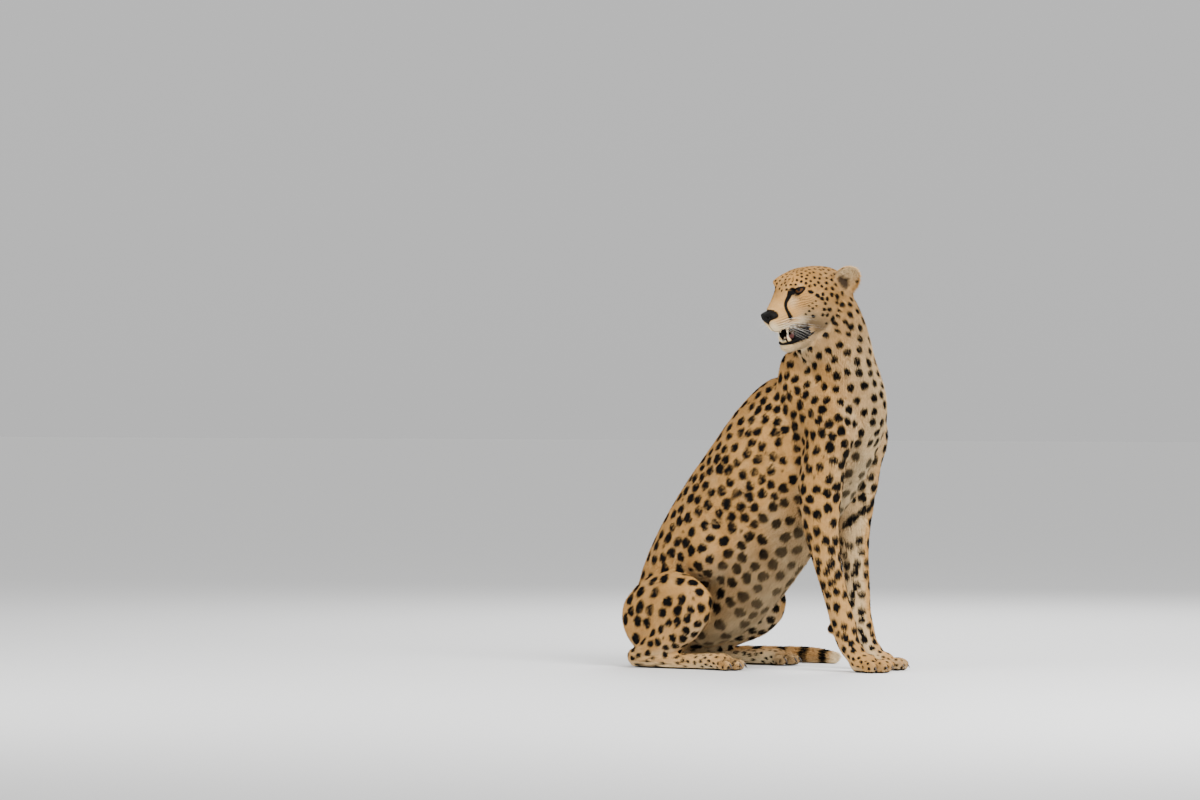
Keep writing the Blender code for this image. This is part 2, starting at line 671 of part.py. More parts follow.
def seat_at_origin(nodes):
    """The bounding box stands on the origin by the middle of its foot."""
    points = [vertex.co for solid in nodes.values() for vertex in solid.data.vertices]
    low = [min(point[axis] for point in points) for axis in range(3)]
    high = [max(point[axis] for point in points) for axis in range(3)]
    away = Vector(((low[0] + high[0]) / 2, (low[1] + high[1]) / 2, 0))
    for solid in nodes.values():
        solid.data.transform(Matrix.Translation(-away))


def finish(nodes):
    for name, solid in nodes.items():
        kind = name.split("_")[0]
        colour, roughness = COLOURS.get(kind, COLOURS["coat"])
        material = bpy.data.materials.new(name)
        material.use_nodes = True
        shader = material.node_tree.nodes["Principled BSDF"]
        shader.inputs["Base Color"].default_value = (*colour, 1)
        shader.inputs["Roughness"].default_value = roughness
        material.diffuse_color = (*colour, 1)
        solid.data.materials.clear()
        solid.data.materials.append(material)
        solid.data.shade_smooth()
        solid.data.name = name


NODES = make_all()
seat_at_origin(NODES)
finish(NODES)
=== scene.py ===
import math

import bpy
import numpy as np
from mathutils import Matrix, Quaternion, Vector
from mathutils.kdtree import KDTree


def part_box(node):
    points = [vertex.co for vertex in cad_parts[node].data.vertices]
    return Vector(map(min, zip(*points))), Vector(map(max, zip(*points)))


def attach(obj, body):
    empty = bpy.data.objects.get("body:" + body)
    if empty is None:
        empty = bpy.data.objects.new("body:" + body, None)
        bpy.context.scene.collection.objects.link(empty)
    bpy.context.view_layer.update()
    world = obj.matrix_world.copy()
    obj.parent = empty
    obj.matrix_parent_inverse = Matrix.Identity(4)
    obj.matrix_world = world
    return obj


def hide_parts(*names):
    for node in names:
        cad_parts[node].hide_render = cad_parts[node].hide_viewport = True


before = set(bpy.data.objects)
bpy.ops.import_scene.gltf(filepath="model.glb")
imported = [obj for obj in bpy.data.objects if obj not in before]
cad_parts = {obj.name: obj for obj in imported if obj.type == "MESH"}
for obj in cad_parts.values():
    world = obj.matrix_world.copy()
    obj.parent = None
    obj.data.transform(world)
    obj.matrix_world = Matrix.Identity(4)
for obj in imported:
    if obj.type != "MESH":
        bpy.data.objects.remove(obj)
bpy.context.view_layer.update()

left, right = 1, -1
sideNames = {left: "left", right: "right"}
bothFlips = [(side, Vector((1, side, 1))) for side in (left, right)]
chance = np.random.default_rng(7)     # every random draw comes from this one generator

# The head has a frame of its own: X to the nose, Y to the animal's left, Z to the crown.
pose = {
    "headSeat": (0.175, -0.040, 0.846),   # middle of the ear line
    "headYaw": -112,
    "headPitch": 11,
    "jawHinge": (0.030, 0, -0.020),
    "jawOpen": 9.5,
    "eye": (0.0848, 0.0278, 0.049),
    "eyeRadius": 0.0175,
}


def turnedBy(degrees, axis):
    return Matrix.Rotation(math.radians(degrees), 4, axis)


def headMatrix(base):
    turn = turnedBy(pose["headYaw"], "Z") @ turnedBy(pose["headPitch"], "Y")
    return base @ Matrix.Translation(pose["headSeat"]) @ turn


# The left eye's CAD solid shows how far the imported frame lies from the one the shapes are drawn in.
eyeLow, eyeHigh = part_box("eye_left")
shift = (eyeLow + eyeHigh) / 2 - headMatrix(Matrix()) @ Vector(pose["eye"])
bodyFrame = Matrix.Translation((shift.x, shift.y, 0))
headFrame = headMatrix(bodyFrame)
hinge = Matrix.Translation(pose["jawHinge"])
jawFrame = headFrame @ hinge @ turnedBy(pose["jawOpen"], "Y") @ hinge.inverted()
headTurn = headFrame.to_3x3()


def pickOnly(piece):
    bpy.ops.object.select_all(action="DESELECT")
    piece.select_set(True)
    bpy.context.view_layer.objects.active = piece


def applyModifier(piece, kind, **settings):
    pickOnly(piece)
    bpy.ops.object.modifier_add(type=kind)
    modifier = piece.modifiers[-1]
    for name, value in settings.items():
        setattr(modifier, name, value)
    bpy.ops.object.modifier_apply(modifier=modifier.name)


def joinPieces(name, parts):
    pickOnly(parts[0])
    for part in parts:
        part.select_set(True)
    bpy.ops.object.join()
    parts[0].name = name
    return parts[0]


def linked(name, data):
    piece = bpy.data.objects.new(name, data)
    bpy.context.scene.collection.objects.link(piece)
    return piece


def pieceFrom(name, verts, faces):
    mesh = bpy.data.meshes.new(name)
    mesh.from_pydata([tuple(point) for point in verts], [], faces)
    return linked(name, mesh)


def placed(base, points):     # points, one to a row, moved by a matrix
    return np.asarray(points) @ np.array(base.to_3x3()).T + np.array(base.translation)


def headPlaces(points):
    return placed(headFrame.inverted(), points)


def pointsOf(piece, key="co"):
    rows = np.empty(len(piece.data.vertices) * 3, np.float32)
    piece.data.vertices.foreach_get(key, rows)
    return rows.reshape(-1, 3).astype(float)


def normalsOf(piece):
    return pointsOf(piece, "normal")


def setPoints(piece, points):
    piece.data.vertices.foreach_set("co", np.asarray(points, np.float32).ravel())
    piece.data.update()


def triangleRows(piece, *keys):
    piece.data.calc_loop_triangles()
    found = []
    for key in keys:
        found.append(np.empty(len(piece.data.loop_triangles) * 3, np.int32))
        piece.data.loop_triangles.foreach_get(key, found[-1])
    return [rows.reshape(-1, 3) for rows in found]


def unit(rows):
    return rows / np.maximum(np.linalg.norm(rows, axis=-1, keepdims=True), 1e-9)


def smoothStep(low, high, value):
    share = np.clip((value - low) / (high - low), 0, 1)
    return share * share * (3 - 2 * share)


def mixed(base, other, amount):
    return base + (np.asarray(other) - base) * amount[:, None]


def between(rows, share):     # Catmull-Rom through equal rows, share from 0 to len(rows) - 1
    rows = np.asarray(rows, float)
    first = min(int(share), len(rows) - 2)
    t = share - first
    a, b, c, d = [rows[min(max(first + step, 0), len(rows) - 1)] for step in (-1, 0, 1, 2)]
    bend = (2 * a - 5 * b + 4 * c - d) * t * t
    return 0.5 * (2 * b + (c - a) * t + bend + (3 * b - a - 3 * c + d) * t ** 3)


def headingAt(rows, share, reach):     # how far a string runs round a share, and the span of shares
    low, high = max(share - reach, 0), min(share + reach, len(rows) - 1)
    along = between(rows, high)[:3] - between(rows, low)[:3]
    return along, high - low


def pathSamples(path, steps):
    last = len(path) - 1
    return np.array([between(path, last * step / (steps * last)) for step in range(steps * last + 1)])


def mirrored(moves):     # moves given for the left side, repeated on the right
    pairs = []
    for centre, reach, step in moves:
        amount = np.array(step) * (0.5 if centre[1] == 0 else 1)
        pairs += [(np.array(centre) * (1, side, 1), reach, amount * (1, side, 1)) for side in (left, right)]
    return pairs


def push(points, moves):     # soft local moves: centre, reach, shift
    for centre, reach, step in moves:
        weight = np.exp(-(np.linalg.norm(points - centre, axis=1) / reach) ** 2)
        points += weight[:, None] * step
    return points


view = {"azimuth": 30, "distance": 12.0, "metresWide": 2.791, "beside": -0.3837, "above": 0.6233}
stage = {
    "floorWide": 120, "floorTone": (0.785, 0.785, 0.78, 1), "floorRough": 0.7,
    "levelTone": 0.755, "skyTone": 1.0, "skyFrom": 0.45, "skyStrength": 0.85,     # from the floor's edge up
    "lampReach": 3.0, "lampAim": (0, 0, 0.45),
    "lamps": {                                    # turned from the camera, height, size, power
        "keyLight": (35, 2.7, 1.8, 230),
        "fillLight": (-60, 1.7, 2.6, 60),
        "backLight": (165, 2.8, 2.0, 120),
    },
}


def around(degrees):     # level way from the model towards a place that many degrees round from its front
    angle = math.radians(degrees)
    return Vector((math.sin(angle), -math.cos(angle), 0))


def addNodes(tree, *kinds):
    return [tree.nodes.new("ShaderNode" + kind) for kind in kinds]


def makeCamera():
    towards = around(view["azimuth"])
    rightWay = Vector((-towards.y, towards.x, 0))
    aim = bodyFrame.translation + rightWay * view["beside"] + Vector((0, 0, view["above"]))
    bpy.ops.object.camera_add(location=aim + towards * view["distance"],
                              rotation=(math.pi / 2, 0, math.radians(view["azimuth"])))
    camera = bpy.context.object
    camera.data.sensor_width = 36
    camera.data.lens = 36 * view["distance"] / view["metresWide"]
    camera.data.clip_end = 200
    bpy.context.scene.camera = camera


def makeFloor():
    bpy.ops.mesh.primitive_plane_add(size=stage["floorWide"], location=(0, 0, 0))
    floor = bpy.context.object
    floor.name = "floor"
    paint = bpy.data.materials.new("paleFloor")
    paint.use_nodes = True
    shader = paint.node_tree.nodes["Principled BSDF"]
    shader.inputs["Base Color"].default_value = stage["floorTone"]
    shader.inputs["Roughness"].default_value = stage["floorRough"]
    floor.data.materials.append(paint)


def makeRoom():
    world = bpy.data.worlds.new("softRoom")
    bpy.context.scene.world = world
    world.use_nodes = True
    tree = world.node_tree
    place, split, ramp = addNodes(tree, "TexCoord", "SeparateXYZ", "ValToRGB")
    for element, tone in zip(ramp.color_ramp.elements, (stage["levelTone"], stage["skyTone"])):
        element.color = (tone, tone, tone, 1)
    ramp.color_ramp.elements[1].position = stage["skyFrom"]
    tree.links.new(place.outputs["Generated"], split.inputs["Vector"])
    tree.links.new(split.outputs["Z"], ramp.inputs["Fac"])
    tree.links.new(ramp.outputs["Color"], tree.nodes["Background"].inputs["Color"])
    tree.nodes["Background"].inputs["Strength"].default_value = stage["skyStrength"]
    for name, (turn, height, size, power) in stage["lamps"].items():
        place = around(view["azimuth"] + turn) * stage["lampReach"] + Vector((0, 0, height))
        bpy.ops.object.light_add(type="AREA", location=place)
        lamp = bpy.context.object
        lamp.name = name
        lamp.data.size = size
        lamp.data.energy = power
        lamp.rotation_euler = (place - Vector(stage["lampAim"])).to_track_quat("Z", "Y").to_euler()


makeCamera()
makeFloor()
makeRoom()
print("stage: camera, floor and light")


# Flesh is built of metaballs in strings, each run through stations of x, y, z, half-width and half-depth.
flesh = {"threshold": 0.6, "density": 4.0,     # surface level of the field; elements per reach
         "fineness": {"torso": 0.006, "haunch": 0.005, "foreleg": 0.0045, "hindFoot": 0.004, "tail": 0.0045}}
middleStrings = {                              # family, way the half-depth points, stiffness, stations
    "trunk": ("torso", (-0.8, 0, 0.6), 4.0, [
        (-0.280, 0, 0.058, 0.080, 0.070), (-0.258, 0, 0.135, 0.086, 0.082), (-0.218, 0, 0.215, 0.092, 0.098),
        (-0.156, 0, 0.297, 0.096, 0.114), (-0.084, 0, 0.370, 0.104, 0.132), (-0.006, 0, 0.442, 0.108, 0.147),
        (0.060, 0, 0.508, 0.104, 0.159), (0.118, 0, 0.570, 0.092, 0.146)]),
    "belly": ("torso", (-0.8, 0, 0.6), 4.0, [
        (0.222, 0, 0.508, 0.062, 0.064), (0.165, 0, 0.430, 0.064, 0.070), (0.108, 0, 0.372, 0.074, 0.076),
        (0.054, 0, 0.312, 0.080, 0.080), (0.004, 0, 0.250, 0.080, 0.082), (-0.046, 0, 0.190, 0.076, 0.080),
        (-0.100, 0, 0.135, 0.070, 0.070), (-0.160, 0, 0.095, 0.060, 0.050)]),
    "neck": ("torso", (-1, 0, 0), 5.0, [
        (0.150, 0.000, 0.530, 0.085, 0.115), (0.205, -0.002, 0.598, 0.086, 0.117),
        (0.204, -0.010, 0.670, 0.080, 0.093), (0.202, -0.020, 0.735, 0.073, 0.083),
        (0.192, -0.030, 0.800, 0.068, 0.076), (0.180, -0.038, 0.850, 0.056, 0.060)]),
}
limbStrings = {                                # left side; a sixth value is a station's share of the slip
    "shoulder": ("torso", (1, 0, 0.4), 5.0, [
        (0.102, 0.046, 0.716, 0.028, 0.036), (0.122, 0.062, 0.648, 0.034, 0.056),
        (0.206, 0.084, 0.560, 0.040, 0.070), (0.200, 0.089, 0.490, 0.041, 0.058),
        (0.194, 0.088, 0.425, 0.037, 0.055), (0.190, 0.086, 0.385, 0.030, 0.044)]),
    "foreleg": ("foreleg", (1, 0, 0.2), 8.0, [
        (0.198, 0.087, 0.450, 0.028, 0.044), (0.190, 0.086, 0.400, 0.036, 0.053),
        (0.188, 0.082, 0.340, 0.034, 0.046), (0.198, 0.076, 0.270, 0.030, 0.037, 0.2),
        (0.216, 0.069, 0.190, 0.026, 0.031, 0.5), (0.232, 0.062, 0.125, 0.026, 0.030, 1),
        (0.240, 0.060, 0.095, 0.027, 0.031, 1), (0.252, 0.060, 0.060, 0.027, 0.026, 1),
        (0.272, 0.060, 0.036, 0.031, 0.023, 1)]),
    "thigh": ("haunch", (0, 0, 1), 5.0, [
        (-0.288, 0.076, 0.098, 0.048, 0.080), (-0.218, 0.092, 0.132, 0.052, 0.094),
        (-0.160, 0.112, 0.144, 0.046, 0.082, 0.5), (-0.110, 0.126, 0.160, 0.036, 0.056, 1)]),
    "shank": ("haunch", (1, 0, 1), 5.0, [
        (-0.106, 0.130, 0.165, 0.032, 0.042, 1), (-0.128, 0.132, 0.118, 0.034, 0.046, 1),
        (-0.180, 0.132, 0.075, 0.032, 0.042), (-0.235, 0.130, 0.045, 0.022, 0.028),
        (-0.268, 0.128, 0.030, 0.020, 0.024)]),
    "hindFoot": ("hindFoot", (0, 0, 1), 8.0, [
        (-0.275, 0.128, 0.026, 0.021, 0.025), (-0.200, 0.129, 0.020, 0.020, 0.020),
        (-0.120, 0.131, 0.018, 0.022, 0.019), (-0.060, 0.134, 0.020, 0.030, 0.020)]),
}
leftSlip = {"foreleg": -0.018, "thigh": 0.052, "shank": 0.052}     # left paw further back, knee further ahead
tailString = ("tail", (0, 0, 1), 8.0, [
    (-0.270, 0.000, 0.060, 0.030, 0.034), (-0.330, 0.030, 0.032, 0.024, 0.026),
    (-0.350, 0.110, 0.022, 0.021, 0.021), (-0.300, 0.190, 0.020, 0.020, 0.020),
    (-0.210, 0.240, 0.020, 0.020, 0.020), (-0.110, 0.265, 0.020, 0.020, 0.020),
    (-0.020, 0.268, 0.020, 0.020, 0.020), (0.052, 0.258, 0.015, 0.015, 0.015)])

fleshStrings = dict(middleStrings)
for side in (left, right):
    for name, (family, over, stiffness, rows) in limbStrings.items():
        slip = leftSlip.get(name, 0) if side == left else 0
        stations = [(x + slip * sum(share), side * y, *size) for (x, y, *size), share in
                    ((row[:5], row[5:]) for row in rows)]
        owner = family if family == "torso" else family + sideNames[side]
        fleshStrings[name + "_" + sideNames[side]] = (owner, over, stiffness, stations)
fleshStrings["tail"] = tailString

fleshBlobs = [                                 # centre, radii, stiffness, frame
    ((-0.030, 0, 0.300), (0.080, 0.098, 0.080), 3.0, bodyFrame),     # flanks
    ((0.045, 0, 0.380), (0.080, 0.098, 0.080), 3.0, bodyFrame),
    ((0.110, 0, 0.450), (0.080, 0.098, 0.080), 3.0, bodyFrame),
    ((0.034, 0, -0.088), (0.056, 0.056, 0.046), 4.0, headFrame),     # throat
    ((0.118, 0, 0.668), (0.042, 0.056, 0.052), 3.0, bodyFrame),      # withers
    ((-0.110, 0.066, 0.262), (0.070, 0.050, 0.060), 3.0, bodyFrame),     # hips
    ((-0.110, -0.066, 0.262), (0.070, 0.050, 0.060), 3.0, bodyFrame),
]
paws = {                                       # toes: ahead, aside; pad and toe: radii, height
    "foreleg": {left: (0.282, 0.060, 0), right: (0.300, -0.060, 0),
                "toes": ((0.018, -0.031), (0.034, -0.011), (0.034, 0.011), (0.018, 0.031)),
                "pad": ((0.034, 0.034, 0.024), 0.021), "toe": ((0.023, 0.0120, 0.0165), 0.0145),
                "cleft": 0.034},
    "hindFoot": {left: (-0.030, 0.136, 0), right: (-0.030, -0.136, 0),
                 "toes": ((0.012, -0.028), (0.027, -0.010), (0.027, 0.010), (0.012, 0.028)),
                 "pad": ((0.030, 0.030, 0.021), 0.019), "toe": ((0.023, 0.0115, 0.0150), 0.015),
                 "cleft": 0.026},
    "splay": 8, "padBack": -0.012, "padStiff": 6.0, "toeStiff": 12.0,
    "wristBack": -0.092, "wrist": (0.064, 0.098), "wristRadii": (0.012, 0.012, 0.014),
}


def addElement(family, base, centre, turn, sizes, stiffness):
    element = family.data.elements.new(type="ELLIPSOID")
    element.co = base @ Vector(centre)
    element.rotation = base.to_quaternion() @ turn
    element.radius = 1.0
    element.stiffness = stiffness
    element.size_x, element.size_y, element.size_z = sizes


def addBlob(family, centre, radii, stiffness=5.0, base=bodyFrame, turn=Quaternion()):
    reach = math.sqrt(1 - (flesh["threshold"] / stiffness) ** (1 / 3))
    addElement(family, base, centre, turn, [radius / reach for radius in radii], stiffness)


def addString(family, stations, over, stiffness):
    edge = (flesh["threshold"] * 35 / (32 * flesh["density"] * stiffness)) ** (1 / 3.5)
    reach = math.sqrt(1 - edge)
    share = 0.0
    while share <= len(stations) - 1:
        x, y, z, wide, deep = between(stations, share)
        along, paced = headingAt(stations, share, 0.01)
        along = Vector(along)
        pace = along.length / paced
        along.normalize()
        across = Vector(over).cross(along).normalized()
        turn = Matrix((along, across, along.cross(across))).transposed().to_quaternion()
        thin = min(wide, deep) / reach
        addElement(family, bodyFrame, (x, y, z), turn, (thin, wide / reach, deep / reach), stiffness)
        share += thin / flesh["density"] / pace


def addPaw(family, kind, side):
    paw, place = paws[kind], Vector(paws[kind][side])
    radii, height = paw["pad"]
    addBlob(family, place + Vector((paws["padBack"], 0, height)), radii, paws["padStiff"])
    radii, height = paw["toe"]
    for ahead, aside in paw["toes"]:
        splay = Quaternion((0, 0, 1), aside * paws["splay"])
        addBlob(family, place + Vector((ahead, aside, height)), radii, paws["toeStiff"], turn=splay)


def fleshMesh(name):
    kind = next(word for word in flesh["fineness"] if name.startswith(word))
    bpy.ops.object.select_all(action="DESELECT")
    bpy.ops.object.metaball_add(type="ELLIPSOID", location=(0, 0, 0))
    family = bpy.context.object
    family.name = name
    family.data.elements.clear()
    family.data.threshold = flesh["threshold"]
    family.data.resolution = family.data.render_resolution = flesh["fineness"][kind]
    for owner, over, stiffness, stations in fleshStrings.values():
        if owner == name:
            addString(family, stations, over, stiffness)
    side = left if name.endswith("left") else right
    if kind == "torso":
        for blob in fleshBlobs:
            addBlob(family, *blob)
    if kind == "foreleg":
        aside, height = paws["wrist"]
        addBlob(family, (paws[kind][side][0] + paws["wristBack"], side * aside, height), paws["wristRadii"])
    if kind in paws:
        addPaw(family, kind, side)
    pickOnly(family)
    bpy.ops.object.convert(target="MESH")
    return bpy.context.object


skull = {
    "rings": 130, "around": 120,
    "sections": [                                 # x, top, level, bottom, half-width, bend
        (-0.074, 0.020, 0.010, 0.000, 0.002, 1.0),
        (-0.062, 0.050, 0.012, -0.040, 0.036, 1.0),
        (-0.045, 0.069, 0.008, -0.062, 0.053, 1.0),
        (-0.020, 0.083, 0.003, -0.076, 0.064, 0.95),
        (0.010, 0.090, -0.003, -0.084, 0.070, 0.90),
        (0.040, 0.0935, -0.004, -0.082, 0.071, 0.85),
        (0.065, 0.0930, 0.000, -0.066, 0.067, 0.80),
        (0.084, 0.0895, 0.004, -0.044, 0.059, 0.75),
        (0.098, 0.0840, 0.006, -0.043, 0.052, 0.62),
        (0.110, 0.0750, 0.003, -0.043, 0.046, 0.62),
        (0.122, 0.0610, -0.003, -0.043, 0.039, 0.72),
        (0.136, 0.0450, -0.010, -0.043, 0.035, 0.88),
        (0.150, 0.0320, -0.013, -0.0430, 0.0290, 0.95),
        (0.161, 0.0230, -0.012, -0.0370, 0.0225, 1.0),
        (0.169, 0.0165, -0.008, -0.0260, 0.0195, 1.0),
        (0.175, 0.0110, -0.004, -0.0170, 0.0160, 1.0),
        (0.180, 0.0040, 0.000, -0.0060, 0.0080, 1.0)],
    "moves": [                                    # centre, reach, shift
        ((0.108, 0.042, 0.050), 0.017, (-0.002, -0.018, 0.000)),   # eye hollow
        ((0.108, 0.036, 0.068), 0.017, (0.011, 0.003, 0.001)),     # brow
        ((0.122, 0.036, 0.020), 0.018, (0.000, -0.005, 0.000)),    # hollow beside the bridge
        ((0.078, 0.060, 0.016), 0.022, (0.004, 0.003, 0.002)),     # cheekbone
        ((0.146, 0.031, -0.020), 0.015, (0.002, 0.004, 0.000)),    # whisker pad
        ((0.090, 0.000, 0.094), 0.012, (0.000, 0.000, -0.003)),    # furrow of the forehead
        ((0.115, 0.000, -0.050), 0.024, (0.000, 0.000, 0.028)),    # palate
    ],
}
jaw = {
    "rings": 90, "around": 90,
    "sections": [
        (-0.010, -0.040, -0.045, -0.050, 0.004, 1.0),
        (0.010, -0.012, -0.045, -0.084, 0.048, 1.0),
        (0.050, -0.026, -0.052, -0.084, 0.045, 1.0),
        (0.090, -0.038, -0.055, -0.080, 0.036, 0.8),
        (0.115, -0.040, -0.056, -0.077, 0.029, 0.7),
        (0.132, -0.041, -0.057, -0.075, 0.024, 0.7),
        (0.142, -0.043, -0.057, -0.071, 0.018, 0.8),
        (0.149, -0.052, -0.058, -0.063, 0.007, 1.0)],
    "moves": [((0.100, 0.000, -0.034), 0.020, (0.000, 0.000, -0.014))],   # bed of the tongue
}
ear = {
    "halfWidth": 0.037, "halfHeight": 0.040, "cup": 0.014, "thick": 0.009, "thin": 0.45,
    "rings": 16, "around": 64,
    "seat": {left: (-0.018, 0.064, 0.044), right: (-0.018, -0.064, 0.036)},
    "up": (-0.29, 0.50, 0.79), "face": (0.35, 0.85, -0.42),
}
web = {"centre": (0.0650, 0.0365, -0.0470), "radii": (0.0245, 0.0075, 0.0150)}     # behind the mouth's corner


def loftPoint(shape, share, angle):     # share runs over the sections, angle from the top towards the left
    x, top, level, bottom, wide, bend = between(shape["sections"], share)
    across, rise = math.sin(angle), math.cos(angle)
    if rise > 0:
        return x, wide * math.copysign(abs(across) ** bend, across), level + (top - level) * rise ** bend
    return x, wide * across, level + (level - bottom) * rise


def loftPiece(name, shape, base):
    rings, steps = shape["rings"], shape["around"]
    last = len(shape["sections"]) - 1
    verts = [loftPoint(shape, last * ring / rings, 2 * math.pi * step / steps)
             for ring in range(1, rings) for step in range(steps)]
    verts += [(row[0], 0, row[2]) for row in (shape["sections"][0], shape["sections"][-1])]
    lastRow = (rings - 2) * steps
    pairs = [(step, (step + 1) % steps) for step in range(steps)]
    faces = [(row + here, row + after, row + after + steps, row + here + steps)
             for row in range(0, lastRow, steps) for here, after in pairs]
    for here, after in pairs:
        faces.append((len(verts) - 2, after, here))
        faces.append((len(verts) - 1, lastRow + here, lastRow + after))
    points = push(np.array(verts, float), mirrored(shape["moves"]))
    return pieceFrom(name, placed(base, points), faces)


def earAxes(side):     # centre of an ear's mouth, the way up it and the way it faces, in the head's frame
    up, face = ((Vector(ear[key]) * Vector((1, side, 1))).normalized() for key in ("up", "face"))
    return Vector(ear["seat"][side]), up, face


def earPiece(side):     # a cup of two layers, closed along its rim
    rings, steps = ear["rings"], ear["around"]
    centre, up, face = earAxes(side)
    along = up.cross(face).normalized()
    verts = [centre - face * ear["cup"], centre - face * (ear["cup"] + ear["thick"])]
    for layer in (0, 1):
        for out in (ring / rings for ring in range(1, rings + 1)):
            thick = ear["thick"] * (1 - ear["thin"] * out) * layer
            for angle in (2 * math.pi * step / steps for step in range(steps)):
                reach = along * (ear["halfWidth"] * math.cos(angle))
                reach += up * (ear["halfHeight"] * math.sin(angle))
                verts.append(centre + reach * out - face * (ear["cup"] * (1 - out ** 2) + thick))
    faces = []
    inner, outer = 2 + (rings - 1) * steps, 2 + (2 * rings - 1) * steps
    for step in range(steps):
        after = (step + 1) % steps
        for layer, order in ((0, 1), (1, -1)):
            start = 2 + layer * rings * steps
            faces.append((layer, start + step, start + after)[::order])
            for row in range(start, start + (rings - 1) * steps, steps):
                faces.append((row + step, row + steps + step, row + steps + after, row + after)[::order])
        faces.append((inner + step, outer + step, outer + after, inner + after))
    if side == left:
        faces = [corners[::-1] for corners in faces]
    return pieceFrom("ear", placed(headFrame, verts), faces)


def ballPiece(name, base, centre, radii, segments=48, rings=32, moves=()):
    bpy.ops.object.select_all(action="DESELECT")
    bpy.ops.mesh.primitive_uv_sphere_add(segments=segments, ring_count=rings, radius=1.0, location=(0, 0, 0))
    piece = bpy.context.object
    piece.name = name
    bpy.ops.object.mode_set(mode="EDIT")
    bpy.ops.transform.resize(value=radii)
    bpy.ops.transform.translate(value=centre)
    bpy.ops.object.mode_set(mode="OBJECT")
    setPoints(piece, placed(base, push(pointsOf(piece), moves)))
    bpy.ops.object.shade_smooth()
    return piece


# What the coat does on each part of the body: a pair of values runs from one end of its string to the other.
# Lengths are in metres, rise in degrees off the skin, flow is the coat's way along the string.
coatColumns = ("depth", "hair", "rise", "spacing", "spot", "pale", "flow")
coatZones = {
    "trunk": (0.0032, 0.0088, 10, (0.0285, 0.0228), (0.0134, 0.0110), 0.0, -1),
    "belly": (0.0060, (0.018, 0.024), 17, 0.0305, 0.0124, 0.40, 1),
    "neck": (0.0045, (0.018, 0.012), 12, 0.0240, 0.0092, 0.10, -1),
    "shoulder": (0.0035, 0.0086, 9, (0.0212, 0.0250), (0.0102, 0.0122), 0.0, 1),
    "foreleg": ((0.0030, 0.0015), (0.0085, 0.0048), 9, (0.0262, 0.0168), (0.0124, 0.0076), 0.0, 1),
    "thigh": (0.0035, 0.0090, 9, 0.0290, 0.0138, 0.0, 0),
    "shank": (0.0030, 0.0090, 9, 0.0190, 0.0082, 0.10, 1),
    "hindFoot": (0.0018, 0.0055, 9, 0.0120, 0.0036, 0.25, 1),
    "tail": (0.0045, (0.012, 0.016), 13, 0.0240, 0.0076, 0.1, 1),
    "crown": (0.0015, 0.0050, 12, 0.0090, 0.0028, 0.0, 0),
    "cheek": (0.0016, 0.0055, 12, 0.0120, 0.0024, 0.22, 0),
    "muzzle": (0.0010, 0.0032, 12, 0.02, 0.0, 0.12, 0),
    "chin": (0.0018, 0.0080, 20, 0.02, 0.0, 0.95, 0),
    "throat": (0.0045, 0.0180, 17, 0.024, 0.0046, 0.70, 0),
    "ear": (0.0010, 0.0085, 18, 0.02, 0.0, 0.3, 0),
}
zoneNames = list(coatZones)
thighFlow = (-0.45, 0, -0.9)                  # the coat of the thigh runs down and back
zoneBlend = {"nearest": 0.05, "power": -6, "tailPower": -12, "chunk": 20000}

headGuides = [                                # place, reach, way of the coat, zone; sides are mirrored
    ((-0.030, 0, 0.010), 0.070, (-1, 0, -0.30), "crown"),
    ((0.020, 0, 0.020), 0.072, (-1, 0, 0.00), "crown"),
    ((0.060, 0, 0.030), 0.064, (-0.95, 0, 0.25), "crown"),
    ((0.095, 0, 0.040), 0.044, (-0.75, 0, 0.65), "crown"),
    ((0.130, 0, 0.010), 0.032, (-0.85, 0, 0.50), "muzzle"),
    ((0.160, 0, -0.008), 0.026, (-0.80, 0, 0.60), "muzzle"),
    ((0.145, 0.018, -0.026), 0.018, (-0.85, 0.45, -0.20), "muzzle"),
    ((0.118, 0.020, -0.026), 0.022, (-0.92, 0.30, -0.15), "muzzle"),
    ((0.085, 0.030, -0.016), 0.036, (-0.95, 0.15, -0.15), "cheek"),
    ((0.050, 0.035, -0.030), 0.042, (-0.90, 0.15, -0.40), "cheek"),
    ((0.005, 0.032, -0.045), 0.046, (-0.75, 0.10, -0.70), "cheek"),
    ((0.034, 0, -0.088), 0.050, (-0.60, 0, -0.80), "throat"),
]
jawGuides = [
    ((0.130, 0, -0.058), 0.020, (-0.90, 0, -0.45), "chin"),
    ((0.100, 0, -0.062), 0.024, (-0.95, 0, -0.30), "chin"),
    ((0.065, 0, -0.066), 0.032, (-0.90, 0, -0.45), "chin"),
]
earGuides = {"behind": 0.012, "rises": (-0.012, 0.012), "reach": 0.026}


